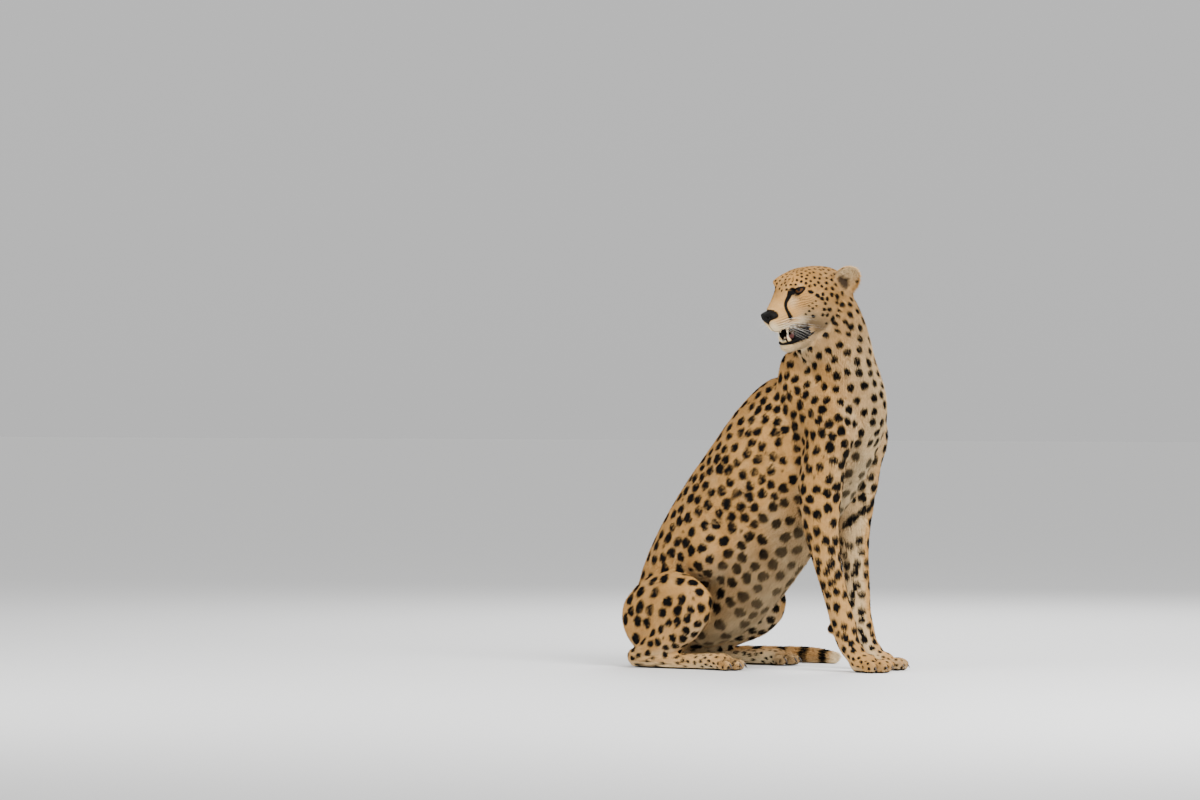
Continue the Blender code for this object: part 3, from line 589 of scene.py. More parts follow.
# Points inside the flesh that tell the way of the coat around them, the zone and the share along its string.
def coatGuides():
    rows = []
    for name, (_, _, _, stations) in fleshStrings.items():
        zone = name.split("_")[0]
        last = len(stations) - 1
        for share in (step / 4 for step in range(4 * last + 1)):
            here = between(stations, share)
            flow = coatZones[zone][coatColumns.index("flow")]
            way = np.array(thighFlow) if zone == "thigh" else flow * headingAt(stations, share, 0.05)[0]
            place = bodyFrame @ Vector(here[:3])
            rows.append((tuple(place), (here[3] + here[4]) / 2, tuple(unit(way)), zone, share / last))
    for guides, base in ((headGuides, headFrame), (jawGuides, jawFrame)):
        for place, reach, way, zone in guides:
            for _, flip in bothFlips[:2 if place[1] else 1]:
                seen = base.to_3x3() @ (Vector(way) * flip).normalized()
                rows.append((tuple(base @ (Vector(place) * flip)), reach, tuple(seen), zone, 0.5))
    for side in (left, right):
        centre, up, face = earAxes(side)
        for rise in earGuides["rises"]:
            place = headFrame @ (centre - face * earGuides["behind"] + up * rise)
            rows.append((tuple(place), earGuides["reach"], tuple(headTurn @ up), "ear", 0.5))
    return rows


def readZones(points):     # coat values at points, blended from the guides near them
    rows = coatGuides()
    places, reaches, ways, shares = (np.array([row[column] for row in rows], np.float32)
                                     for column in (0, 1, 2, 4))
    keys = coatColumns[:-1]
    table = np.zeros((len(rows), len(keys)), np.float32)
    for index, row in enumerate(rows):
        for column in range(len(keys)):
            value = coatZones[row[3]][column]
            if isinstance(value, tuple):
                value = value[0] + (value[1] - value[0]) * shares[index]
            table[index, column] = value
    zoneOf = np.array([zoneNames.index(row[3]) for row in rows])
    tailRows = zoneOf == zoneNames.index("tail")
    found = {key: np.empty(len(points)) for key in (*keys, "tailShare")}
    found.update(lie=np.empty((len(points), 3)), part=np.empty((len(points), len(zoneNames))))
    for start in range(0, len(points), zoneBlend["chunk"]):
        here = slice(start, start + zoneBlend["chunk"])
        offset = points[here, None].astype(np.float32) - places[None]
        far = np.maximum(np.sqrt((offset ** 2).sum(axis=2)) / reaches, zoneBlend["nearest"])
        weight = far ** zoneBlend["power"]
        weight /= weight.sum(axis=1, keepdims=True)
        for column, key in enumerate(keys):
            found[key][here] = weight @ table[:, column]
        found["lie"][here] = weight @ ways
        tailWeight = far[:, tailRows] ** zoneBlend["tailPower"]
        found["tailShare"][here] = tailWeight @ shares[tailRows] / tailWeight.sum(axis=1)
        for zone in range(len(zoneNames)):
            found["part"][here, zone] = weight[:, zoneOf == zone].sum(axis=1)
    found["zone"] = found["part"].argmax(axis=1)
    return found


def partsOf(zones):
    return {name: zones["part"][:, index] for index, name in enumerate(zoneNames)}


# The skin is one surface over all the flesh, finest on the head: triangles left in each region.
skinSize = {"voxel": 0.0018, "smooth": 6, "body": 92000, "skull": 24000, "hindFeet": 22000}
lids = {
    "gaze": 41, "halfWidth": 0.0122, "above": 0.0028, "below": 0.0066, "slant": 0.22, "inward": 0.0030,
    # black: how far the painted black reaches past the opening, the lid rim widened by painted shade of the
    # brow
    "squareness": 1.7, "black": 0.0046, "margin": 0.0012, "sunk": 0.0024, "fall": 0.0075,
    "reach": 0.034, "held": (0.0035, 0.0120),
}
nose = {                                          # moves of the pad: centre, reach, shift
    "centre": (0.1660, 0, -0.0015), "radii": (0.0180, 0.0225, 0.0158),
    "narrow": 0.62, "narrowing": (0.0010, -0.0140),
    "sides": [((0.0165, 0.0085, 0.0000), 0.0036, (-0.0085, 0.0008, 0.0)),      # nostril
              ((0.0120, 0.0160, 0.0010), 0.0030, (-0.0050, -0.0020, 0.0)),     # its slit to the side
              ((0.0080, 0.0190, 0.0075), 0.0050, (0.0012, 0.0010, 0.0008))],   # wing over it
    "middle": [((0.0175, 0.0, -0.0050), 0.0026, (-0.0020, 0.0, 0.0)),          # groove
               ((0.0140, 0.0, -0.0115), 0.0026, (-0.0022, 0.0, 0.0)),
               ((0.0060, 0.0, 0.0150), 0.0100, (0.0, 0.0, -0.0024))],          # flat top
    "dip": (1.30, 1.05), "dipTo": 0.90,
}
bodyMoves = [                                     # centre, reach, shift: muscles and folds
    ((0.150, 0.105, 0.530), 0.030, (0.0, -0.011, 0.0)),     # hollow behind the shoulder blade
    ((0.132, 0.100, 0.470), 0.024, (0.0, -0.012, 0.0)),     # behind the elbow
    ((0.165, 0.095, 0.590), 0.022, (0.0, -0.006, 0.0)),     # between shoulder blade and ribs
    ((0.214, 0.095, 0.500), 0.022, (0.0, 0.005, 0.0)),      # upper arm muscle
    ((0.170, 0.110, 0.400), 0.024, (-0.006, 0.004, 0.0)),   # elbow
    ((0.262, 0.050, 0.540), 0.030, (0.006, 0.003, 0.0)),    # breast muscle
    ((0.275, 0.000, 0.520), 0.022, (-0.006, 0.0, 0.0)),     # furrow between the breast muscles
]


def onFace(points):
    x, y, z = headPlaces(points).T
    return (x > 0.045) & (x < 0.2) & (z > -0.105) & (np.abs(y) < 0.085)


def onSkull(points):
    local = headPlaces(points)
    return ~onFace(points) & (np.linalg.norm(local, axis=1) < 0.125) & (local[:, 2] > -0.06)


def onHindFoot(points):
    body = placed(bodyFrame.inverted(), points)
    beside = np.abs(np.abs(body[:, 1]) - paws["hindFoot"][left][1])
    return (beside < 0.040) & (body[:, 2] < 0.045)


def thinOut(piece, triangles, inside):     # decimates to a triangle count where the mask of vertices holds
    corners, = triangleRows(piece, "vertices")
    count = inside[corners].all(axis=1).sum()
    group = piece.vertex_groups.new(name="region")
    group.add([int(index) for index in np.flatnonzero(inside)], 1.0, "REPLACE")
    ratio = 1 - max(0, count - triangles) / len(corners)
    applyModifier(piece, "DECIMATE", ratio=float(ratio), use_collapse_triangulate=True, vertex_group="region")
    piece.vertex_groups.clear()


def lidFrame(side):     # the eye's own frame: X along its gaze, Y to the outer corner, Z up
    gaze = math.radians(lids["gaze"])
    look = Vector((math.cos(gaze), side * math.sin(gaze), 0))
    outer = Vector((-math.sin(gaze), side * math.cos(gaze), 0))
    centre = Vector(pose["eye"]) * Vector((1, side, 1))
    return headFrame @ Matrix.Translation(centre) @ Matrix((look, outer, (0, 0, 1))).transposed().to_4x4()


def lidOpening(across, rise, wider=0.0):     # below 1 inside the almond between the lids
    level = rise - lids["slant"] * across
    height = np.where(level > 0, lids["above"], lids["below"]) + wider
    across = (across + lids["inward"]) / (lids["halfWidth"] + wider)
    power = lids["squareness"]
    return (np.abs(across) ** power + np.abs(level / height) ** power) ** (1 / power)


def padWidth(rise):     # the nose pad narrows towards the lip
    return 1 - nose["narrow"] * smoothStep(*nose["narrowing"], rise)


def padLevel(local):     # below 1 inside the nose pad
    rel = (local - nose["centre"]) / nose["radii"]
    aside = rel[:, 1] / padWidth(rel[:, 2] * nose["radii"][2])
    return np.sqrt(rel[:, 0] ** 2 + aside ** 2 + rel[:, 2] ** 2)


def shapeLids(points):     # skin lies on the eyeball round the opening and turns in under it
    radius = pose["eyeRadius"]
    for side in (left, right):
        base = lidFrame(side)
        local = placed(base.inverted(), points)
        out = np.linalg.norm(local, axis=1)
        near = (out < lids["reach"]) & (local[:, 0] > 0.3 * out)
        spot, reach = local[near], out[near]
        across = radius * np.arctan2(spot[:, 1], spot[:, 0])
        rise = radius * np.arcsin(spot[:, 2] / reach)
        past = (lidOpening(across, rise) - 1) * lids["fall"]
        inner = radius + np.where(past < 0, -lids["sunk"], lids["margin"] + 0.12 * past)
        held = 1 - smoothStep(*lids["held"], past)
        local[near] = spot * ((inner * held + reach * (1 - held)) / reach)[:, None]
        points[near] = placed(base, local[near])
    return points


def dipUnderNose(local):
    level = padLevel(local)
    inside = smoothStep(*nose["dip"], level)
    sunk = np.minimum(level * (1 - inside) + nose["dipTo"] * inside, level)
    near = (level < nose["dip"][0]) & (level > 0.3)
    middle = np.array(nose["centre"])
    local[near] = middle + (local[near] - middle) * (sunk / level)[near, None]
    return local


def makeSkin():
    parts = [fleshMesh(name) for name in sorted({string[0] for string in fleshStrings.values()})]
    parts += [loftPiece("head", skull, headFrame), loftPiece("jaw", jaw, jawFrame)]
    parts += [earPiece(side) for side in (left, right)]
    for _, flip in bothFlips:
        parts.append(ballPiece("web", headFrame, Vector(web["centre"]) * flip, web["radii"]))
    skin = joinPieces("skin", parts)
    applyModifier(skin, "REMESH", mode="VOXEL", voxel_size=skinSize["voxel"])
    applyModifier(skin, "SMOOTH", factor=0.5, iterations=skinSize["smooth"])
    points = pointsOf(skin)
    thinOut(skin, skinSize["body"], ~onFace(points) & ~onSkull(points) & ~onHindFoot(points))
    thinOut(skin, skinSize["skull"], onSkull(pointsOf(skin)))
    thinOut(skin, skinSize["hindFeet"], onHindFoot(pointsOf(skin)))
    return skin


def shapeSkin(skin):     # folds, lids and flat soles, then in by the depth of the coat
    points = placed(bodyFrame, push(placed(bodyFrame.inverted(), pointsOf(skin)), mirrored(bodyMoves)))
    points[:, 2] = np.maximum(points[:, 2], 0)
    setPoints(skin, points)
    zones = readZones(points)
    depth = zones["depth"] * smoothStep(0.0, 0.010, points[:, 2])
    points -= normalsOf(skin) * depth[:, None]
    setPoints(skin, placed(headFrame, dipUnderNose(headPlaces(shapeLids(points)))))
    pickOnly(skin)
    bpy.ops.object.shade_smooth()
    return zones


# One function colours the skin and every tuft that stands on it.
colours = {                                       # linear red, green, blue
    "tan": (0.610, 0.330, 0.104),
    "deepTan": (0.520, 0.255, 0.064),
    "cream": (0.840, 0.650, 0.385),
    "black": (0.0025, 0.0018, 0.0014),
    "earHollowShade": (0.050, 0.032, 0.020),               # painted shade in the hollows of the ears
    "shadeTan": (0.210, 0.135, 0.066),                # painted shade: a greyer, darker tan on the cheeks, the belly, the neck and inside the ears
}
palePatches = [                                   # head frame, left side: place, reach, amount
    ((0.118, 0.034, 0.026), 0.012, 0.45), ((0.100, 0.044, 0.056), 0.010, 0.40),
    ((0.150, 0.030, -0.028), 0.016, 0.50), ((0.100, 0.048, -0.024), 0.020, 0.45),
    ((0.168, 0.012, -0.030), 0.012, 0.60),
]
faceLines = {                                     # seen from the side in the head's frame: x, z, half-width
    "tear": [(0.106, 0.050, 0.0070), (0.114, 0.046, 0.0068), (0.122, 0.038, 0.0054),
             (0.133, 0.026, 0.0041), (0.137, 0.014, 0.0040), (0.135, 0.000, 0.0047),
             (0.133, -0.009, 0.0062)],
    "brow": [(0.100, 0.080, 0.0004), (0.105, 0.077, 0.0012), (0.112, 0.070, 0.0014)],
}
lineStrength = {"tear": 1.0, "brow": 0.8}
faceRows = [                                      # on the cheek: first x, z, last x, z, number, half-width
    (0.080, 0.040, 0.058, 0.019, 3, 0.0030),
    (0.052, 0.007, 0.056, -0.005, 2, 0.0028),
    (0.041, -0.008, 0.016, -0.017, 2, 0.0032),
    (0.098, -0.007, 0.077, 0.007, 4, 0.0018),
    (0.092, 0.009, 0.076, 0.018, 3, 0.0014),
    (0.082, -0.016, 0.062, -0.018, 2, 0.0024),
    (0.022, -0.030, 0.018, 0.002, 2, 0.0030),
    (0.031, -0.046, 0.010, -0.048, 2, 0.0036),
    (0.030, -0.063, 0.012, -0.074, 2, 0.0036),
]
legBars = [                                       # inner side of the left foreleg: place, way, half-sizes
    ((0.195, 0.050, 0.340), (0.55, 0.10, 0.42), 0.026, 0.0105),
    ((0.225, 0.065, 0.365), (0.45, 0.25, 0.42), 0.016, 0.0085),
]
pattern = {
    "bold": (0.90, 1.10), "fine": 0.36, "fineRoom": 0.86, "fineShare": 0.03, "fineStrength": 0.8, "tries": 16,
    "apart": 1.10, "stretch": (0.98, 1.18), "soft": 0.0003, "softShare": 0.06,
    "waver": ((2, 0.07), (3, 0.06), (5, 0.04)),                    # lobes round the edge, size
    "drawn": 1.45, "drawnRoom": 0.007, "drawnStretch": 1.35, "drawnSlip": {left: 0.0008, right: 0.0016},
    "toeSpot": 0.0038, "toeRoom": 0.0120, "toesAhead": -0.06, "toesBelow": (0.070, 0.020),
}


def mottle(points, size, seed):     # smooth patches from -1 to 1, about one size across
    draw = np.random.default_rng(seed)
    total = np.zeros(len(points))
    for way in unit(draw.normal(size=(7, 3))):
        total += np.sin(points @ way / size * 2.4 + draw.uniform(0, 6.28))
    return np.clip(total / 3.2, -1, 1)


def scatter(skin, density):     # even random places on the skin, density per square metre at each vertex
    corners, loops = triangleRows(skin, "vertices", "loops")
    points = pointsOf(skin)
    edges = points[corners[:, 1:]] - points[corners[:, :1]]
    hoped = np.linalg.norm(np.cross(edges[:, 0], edges[:, 1]), axis=1) / 2 * density[corners].mean(axis=1)
    count = (hoped + chance.random(len(hoped))).astype(int)
    chosen = np.repeat(np.arange(len(corners)), count)
    share = chance.random((len(chosen), 2))
    share = np.where(share.sum(axis=1, keepdims=True) > 1, 1 - share, share)
    weights = np.column_stack([1 - share.sum(axis=1), share])
    return corners[chosen], loops[chosen], weights


def spread(values, corners, weights):     # vertex values at scattered places
    if values.ndim == 1:
        return (values[corners] * weights).sum(axis=1)
    return (values[corners] * weights[:, :, None]).sum(axis=1)


def onSide(skin, side, x, z):     # where a point of the head, seen from the side, lies on the skin
    start, way = headFrame @ Vector((x, side * 0.15, z)), headTurn @ Vector((0, -side, 0))
    return headFrame.inverted() @ skin.ray_cast(start, way)[1]


def drawFace(skin):     # lines as rows of place and half-width, and lone spots, in the head's frame
    bpy.context.view_layer.update()
    lines, dots = {}, []
    for side in (left, right):
        for name, path in faceLines.items():
            samples = [(*onSide(skin, side, x, z), wide) for x, z, wide in pathSamples(path, 24)]
            lines[name, side] = np.array(samples)
        for x, z, lastX, lastZ, number, wide in faceRows:
            for share in np.linspace(0, 1, number):
                slip = chance.normal(0, pattern["drawnSlip"][side], 2)
                here, up = x + (lastX - x) * share + slip[0], z + (lastZ - z) * share + slip[1]
                dots.append((*onSide(skin, side, here, up), wide * chance.uniform(0.85, 1.20)))
    return lines, np.array(dots) * (1, 1, 1, pattern["drawn"])


# Spots fall in random order and stay where they have room; finer ones then fill the gaps.
def throwSpots(skin, normals, zones, lines, dots):
    points = pointsOf(skin)
    x, _, z = headPlaces(points).T
    plain = (zones["spot"] < 0.0012) | (points[:, 2] < 0.006)
    plain |= (x > 0.058) & (x < 0.2) & (z < 0.052) & (z > -0.09)
    spots = []     # place, facing, way, half-width, stretch, waver, strength
    drawn = np.vstack([*lines.values(), dots])
    taken = np.empty((20000, 5))                  # place, room and size of each spot so far
    taken[:len(drawn), :3] = placed(headFrame, drawn[:, :3])
    taken[:len(drawn), 3] = pattern["drawnRoom"]
    taken[:len(drawn), 4] = drawn[:, 3]
    used = len(drawn)
    for place, _, longHalf, _ in legBars:
        taken[used] = (*placed(bodyFrame, [place])[0], 0.0, longHalf)
        used += 1
    for bold in (True, False):
        density = pattern["tries"] / zones["spacing"] ** 2 * ~plain * (1.0 if bold else pattern["fineShare"])
        corners, _, weights = scatter(skin, density)
        order = chance.permutation(len(corners))
        corners, weights = corners[order], weights[order]
        places, room, size = (spread(values, corners, weights)
                              for values in (points, zones["spacing"], zones["spot"]))
        ways, facing = (unit(spread(values, corners, weights)) for values in (zones["lie"], normals))
        toes = smoothStep(*pattern["toesBelow"], places[:, 2])
        toes *= places[:, 0] - bodyFrame.translation.x > pattern["toesAhead"]
        size += (np.minimum(size, pattern["toeSpot"]) - size) * toes
        room += (np.minimum(room, pattern["toeRoom"]) - room) * toes
        for index, place in enumerate(places):
            gap = np.sqrt(((taken[:used, :3] - place) ** 2).sum(axis=1))
            need = 0.5 * (room[index] + taken[:used, 3]) * (1.0 if bold else pattern["fineRoom"])
            wide = size[index] * (chance.uniform(*pattern["bold"]) * (1.0 if bold else pattern["fine"]))
            need = np.maximum(need, pattern["apart"] * (wide + taken[:used, 4]))
            if (gap < need).any():
                continue
            along = ways[index] - facing[index] * (ways[index] @ facing[index])
            spots.append((place, facing[index], unit(along), wide, chance.uniform(*pattern["stretch"]),
                          chance.uniform(0, 6.28, 3), 1.0 if bold else pattern["fineStrength"]))
            taken[used] = (*place, room[index] if bold else room[index] * 0.9, wide)
            used += 1
    for x, y, z, wide in dots:
        nearby = [(x, y, z), (x - 0.01, 0, z * 0.6), (x - 0.01, y, z - 0.006)]
        place, inside, ahead = (placed(headFrame, [point])[0] for point in nearby)
        facing, along = unit(place - inside), unit(ahead - place)
        spots.append((place, facing, unit(along - facing * (along @ facing)), wide, pattern["drawnStretch"],
                      chance.uniform(0, 6.28, 3), 1.0))
    for place, way, longHalf, shortHalf in legBars:
        facing = np.array((0.0, -1.0, 0.0))
        along = unit(np.array(way) - facing * (np.array(way) @ facing))
        spots.append((placed(bodyFrame, [place])[0], facing, along, shortHalf, longHalf / shortHalf,
                      chance.uniform(0, 6.28, 3), 1.0))
    return spots


def spotDark(points, spots):     # round to oval spots with a wavering edge
    tree = KDTree(len(points))
    for index, point in enumerate(points):
        tree.insert(point, index)
    tree.balance()
    dark = np.zeros(len(points))
    for place, facing, along, size, stretch, waver, strength in spots:
        found = np.array([row[1] for row in tree.find_range(place, size * stretch * 1.4 + 0.001)], int)
        if not len(found):
            continue
        offset = points[found] - place
        ahead, aside = offset @ along / stretch, offset @ np.cross(facing, along)
        angle = np.arctan2(aside, ahead)
        edge = np.ones(len(found))
        for (lobes, amount), phase in zip(pattern["waver"], waver):
            edge += amount * np.sin(lobes * angle + phase)
        edge *= size
        soft = pattern["soft"] + size * pattern["softShare"]
        level = 1 - smoothStep(edge - soft, edge + soft, np.hypot(ahead, aside))
        level *= np.abs(offset @ facing) < 2.4 * size + 0.004
        dark[found] = np.maximum(dark[found], level * strength)
    return dark


def besideEye(points, side):     # places in the eye's own frame, and which are near it
    eye = placed(lidFrame(side).inverted(), points)
    return eye, (np.linalg.norm(eye, axis=1) < 0.032) & (eye[:, 0] > 0)


def plainCoat(points, normals, local, zones):     # tan on the back, cream below and inside, painted shade on the cheeks and the belly
    part = partsOf(zones)
    _, y, z = placed(bodyFrame.inverted(), points).T
    inward = -normals[:, 1] * np.where(y > 0, 1.0, -1.0)
    legs = part["foreleg"] + part["thigh"] + part["shank"] + 0.8 * part["shoulder"] + part["hindFoot"]
    ridge = part["trunk"] + part["neck"] + part["shoulder"]
    ridge *= smoothStep(0.45, 0.95, normals @ unit(np.array((-0.6, 0, 0.8))))
    base = np.tile(colours["tan"], (len(points), 1))
    base = mixed(base, colours["deepTan"], np.clip(0.5 * ridge + 0.5 * part["crown"], 0, 1))
    pale = zones["pale"] + 0.50 * smoothStep(0.10, 0.85, -normals[:, 2]) * (1 - part["crown"])
    pale += 0.62 * smoothStep(0.25, 0.85, inward) * legs
    breast = smoothStep(0.35, 0.90, normals[:, 0]) * (z > 0.30)
    breast *= part["neck"] + part["trunk"] + part["belly"]
    pale += 0.55 * breast * smoothStep(0.86, 0.66, z)
    for (x, y, z), reach, amount in palePatches:
        far = np.hypot(np.hypot(local[:, 0] - x, np.abs(local[:, 1]) - y), local[:, 2] - z)
        pale += amount * np.exp(-(far / reach) ** 2)
    pale += 0.10 * mottle(points, 0.030, 3) + 0.05 * mottle(points, 0.008, 4)
    base = mixed(base, colours["cream"], np.clip(pale, 0, 1))
    base = base * (1 - 0.24 * part["crown"] * smoothStep(0.10, 0.06, local[:, 0]))[:, None]
    # Painted shade: the back of the cheeks, the belly and a little of the neck are mixed towards the greyer
    # tan.
    shadeTan = 0.92 * part["cheek"] * smoothStep(0.128, 0.072, local[:, 0])
    shadeTan = shadeTan + 0.50 * part["belly"] + 0.15 * part["neck"]
    base = mixed(base, colours["shadeTan"], np.clip(shadeTan * (1 + 0.3 * mottle(points, 0.020, 7)), 0, 1))
    return base * (1 + 0.07 * mottle(points, 0.050, 5) + 0.05 * mottle(points, 0.006, 6))[:, None]


def faceDark(points, local, lines):     # tear and brow lines, eye rims widened with painted shade of the brow, painted shade in creases, rows of the whisker bed
    x, y, z = local.T
    dark = np.zeros(len(points))
    front = (x > 0.0) & (x < 0.2) & (np.abs(y) < 0.08)
    for (name, side), samples in lines.items():
        near = np.flatnonzero(front & (y * side > 0))
        gap = np.linalg.norm(local[near, None] - samples[None, :, :3], axis=2)
        edge = smoothStep(0.0008, -0.0006, (gap - samples[None, :, 3]).min(axis=1))
        dark[near] = np.maximum(dark[near], edge * lineStrength[name])
    for side in (left, right):
        eye, near = besideEye(points, side)
        # Black round each eye: the lids' own dark rim, widened, with a mass at the inner top, as painted
        # shade of the brow.
        corner = np.hypot(eye[:, 1] + 0.0160, eye[:, 2] + 0.0010)
        rim = lidOpening(eye[:, 1], eye[:, 2], lids["black"])
        lidRimAndBrowShade = np.maximum(smoothStep(1.06, 0.96, rim), smoothStep(0.0082, 0.0072, corner))
        dark = np.maximum(dark, near * lidRimAndBrowShade)
    # Painted shade in the creases below the eye: wavy dark lines.
    creaseShade = np.exp(-((x - 0.098) / 0.020) ** 2 - ((z - 0.020) / 0.018) ** 2)
    waves = np.sin((z + 0.12 * x) / 0.0052 * 6.28 + 1.6 * mottle(points, 0.009, 8))
    whiskerBed = np.exp(-((x - 0.145) / 0.022) ** 2 - ((z + 0.018) / 0.013) ** 2)
    whiskerBed *= smoothStep(0.012, 0.022, np.abs(y))
    rows = np.sin((z - 0.20 * (0.15 - x)) / 0.0056 * 6.28)
    dark = np.maximum(dark, 0.80 * creaseShade * smoothStep(0.30, 0.80, waves))
    return np.maximum(dark, 0.95 * whiskerBed * smoothStep(0.20, 0.70, rows))


def pawSolesAndCleftShade(points, normals):     # painted shade in the clefts between the toes, and dark soles
    body = placed(bodyFrame.inverted(), points)
    dark = np.where((points[:, 2] < 0.004) & (normals[:, 2] < -0.3), 1.0, 0.0)
    for kind in ("foreleg", "hindFoot"):
        toes = paws[kind]["toes"]
        for side in (left, right):
            x, y, z = (body - np.array(paws[kind][side])).T
            # Painted shade down each cleft between two toes.
            for first, second in zip(toes[:-1], toes[1:]):
                middle, ahead = (first[1] + second[1]) / 2, min(first[0], second[0])
                off = np.abs(y - middle * (1 + 6 * np.maximum(x - ahead, 0)))
                groove = (x > ahead - 0.004) & (x < ahead + 0.030) & (z < paws[kind]["cleft"])
                dark = np.maximum(dark, 0.80 * groove * smoothStep(0.0021, 0.0009, off))
    return dark


def noseLipsAndMouthShade(points, local, turned):     # round the nose, under it and along both lips, with painted shade inside the mouth and at its corners
    x, y, z = local.T
    jawX, _, jawZ = placed(jawFrame.inverted(), points).T
    philtrum = (x > 0.150) & (z < -0.014) & (z > -0.040)
    # The black lip edges run on over the palate and down the top of the jaw: painted shade of the mouth's
    # inside and its corners.
    upperLipAndPalateShade = (z < -0.0365) & (z > -0.047) & (x > 0.088) & (turned[:, 2] < -0.30)
    lowerLipAndMouthShade = (x > 0.086) & (jawX < 0.16) & (z < -0.046)
    lowerEdge = -0.0590 + 0.30 * np.maximum(jawX - 0.128, 0)
    layers = [smoothStep(1.14, 1.04, padLevel(local)), 0.9 * philtrum * smoothStep(0.0016, 0.0008, np.abs(y)),
              upperLipAndPalateShade, lowerLipAndMouthShade * smoothStep(lowerEdge - 0.001, lowerEdge + 0.001, jawZ)]
    return np.maximum.reduce(layers)


def paint(points, normals, zones, spots, lines):     # colour of the coat at points
    local, turned, part = headPlaces(points), normals @ np.array(headTurn), partsOf(zones)
    base = plainCoat(points, normals, local, zones)
    dark = spotDark(points, spots) * (1 - 0.25 * part["belly"] * smoothStep(0.0, 0.5, -normals[:, 2]))
    dark = np.maximum.reduce([dark, faceDark(points, local, lines), pawSolesAndCleftShade(points, normals)])

    onTail = zones["zone"] == zoneNames.index("tail")
    along = zones["tailShare"]
    ring = smoothStep(0.05, 0.45, np.sin((along - 0.615) / 0.092 * 6.28)) * smoothStep(0.56, 0.62, along)
    ringed = np.maximum(dark * smoothStep(0.64, 0.58, along), ring * (along < 0.955))
    dark = np.where(onTail, ringed, dark)
    base = mixed(base, colours["cream"], np.clip(onTail * smoothStep(0.955, 0.965, along), 0, 1))

    for side in (left, right):
        centre, up, face = (np.array(way) for way in earAxes(side))
        rel = local - centre
        near = (np.linalg.norm(rel, axis=1) < 0.062) * smoothStep(0.3, 0.75, part["ear"])
        facing, lift, aside = turned @ face, rel @ up, rel @ np.cross(up, face) / ear["halfWidth"]
        behind = near * smoothStep(0.0, -0.4, facing) * smoothStep(0.026, 0.014, lift)
        behind *= np.hypot(aside, lift / ear["halfHeight"]) < 1.15
        within = near * smoothStep(0.1, 0.5, facing)
        deep = np.hypot(aside, (lift + 0.009) / ear["halfHeight"]) + 0.12 * mottle(points, 0.006, 9)
        hollow = within * smoothStep(0.66, 0.34, deep)
        # Painted shade inside the ear: a little greyer tan over its inner face, near black in its hollow.
        base = mixed(base, colours["shadeTan"], 0.35 * within)
        base = mixed(base, colours["earHollowShade"], 0.96 * hollow)
        dark = np.maximum(dark * (1 - 0.9 * near), 0.95 * behind)
    dark = np.maximum(dark, noseLipsAndMouthShade(points, local, turned))
    return mixed(base, colours["black"], np.clip(dark, 0, 1))


# A fine grain breaks up the colour of a layer and lifts the surface.
def finish(name, grain, relief, roughness, specular=0.5, coat=0.0, coatRoughness=0.1,
           colour=None, layer=None, tones=None):
    made = bpy.data.materials.new(name)
    made.use_nodes = True
    tree = made.node_tree
    shader = tree.nodes["Principled BSDF"]
    values = {"Roughness": roughness, "Specular IOR Level": specular, "Coat Weight": coat,
              "Coat Roughness": coatRoughness}
    for key, value in values.items():
        shader.inputs[key].default_value = value
    place, fine = addNodes(tree, "TexCoord", "TexNoise")
    tree.links.new(place.outputs["Object"], fine.inputs["Vector"])
    fine.inputs["Scale"].default_value = grain
    fine.inputs["Detail"].default_value = 3.0
    if layer:     # the layer's colour times a range of greys
        source, ramp, mix = addNodes(tree, "Attribute", "ValToRGB", "Mix")
        source.attribute_name = layer
        for element, tone, at in zip(ramp.color_ramp.elements, tones, (0.3, 0.7)):
            element.color = (tone, tone, tone, 1)
            element.position = at
        mix.data_type = "RGBA"
        mix.blend_type = "MULTIPLY"
        mix.inputs[0].default_value = 1.0
        tree.links.new(fine.outputs["Fac"], ramp.inputs["Fac"])
        tree.links.new(source.outputs["Color"], mix.inputs[6])
        tree.links.new(ramp.outputs["Color"], mix.inputs[7])
        tree.links.new(mix.outputs[2], shader.inputs["Base Color"])
    else:
        shader.inputs["Base Color"].default_value = (*colour, 1)
    if relief:
        bump, = addNodes(tree, "Bump")
        bump.inputs["Strength"].default_value = 0.5 if layer else 0.6
        bump.inputs["Distance"].default_value = relief
        tree.links.new(fine.outputs["Fac"], bump.inputs["Height"])
        tree.links.new(bump.outputs["Normal"], shader.inputs["Normal"])
    return made


def colourLayer(piece, name, rows):
    layer = piece.data.color_attributes.new(name, "FLOAT_COLOR", "POINT")
    layer.data.foreach_set("color", np.column_stack([rows, np.ones(len(rows))]).astype(np.float32).ravel())


# Every tuft of the coat is a closed spike of its own, rooted in the skin and lying along the body.
coat = {
    "gap": {"body": 0.00225, "face": 0.00120, "feet": 0.00150},    # between roots
    "width": 0.135, "leastWidth": 0.00042, "mostWidth": 0.0013,      # of the length
    "thick": 0.4, "sink": 0.0006, "length": (0.72, 1.15), "longFrom": 0.0145, "droop": 0.10,
    "turn": 0.16, "lift": 4.0, "rise": (2, 34), "vary": 0.075,
    "tipLight": 1.06, "rootDark": 0.80, "patch": 0.0015,
    "read": (0.60, 0.72, 0.90),                                    # where along a tuft its colours are taken
    "spike": ((0, 3, 1), (0, 2, 3), (1, 3, 2), (0, 1, 2)),
    "bent": ((0, 1, 2), (0, 3, 4), (0, 4, 1), (1, 4, 5), (1, 5, 2), (2, 5, 3), (2, 3, 0),
             (3, 6, 4), (4, 6, 5), (5, 6, 3)),
}
coatPieces = {                                    # zones of each piece; ownersOf parts them further
    "coatFace": ("cheek", "muzzle", "chin"), "coatCrown": ("crown", "ear"), "coatNeck": ("neck", "throat"),
    "coatBack": ("shoulder",), "coatFlank": ("trunk",),
    "coatBreast": (), "coatBellyLeft": (), "coatBellyRight": (),
    "coatForelegs": ("foreleg",), "coatHaunchLeft": ("thigh", "shank", "hindFoot"), "coatHaunchRight": (),
    "coatTail": ("tail",),
}
pieceNames = list(coatPieces)


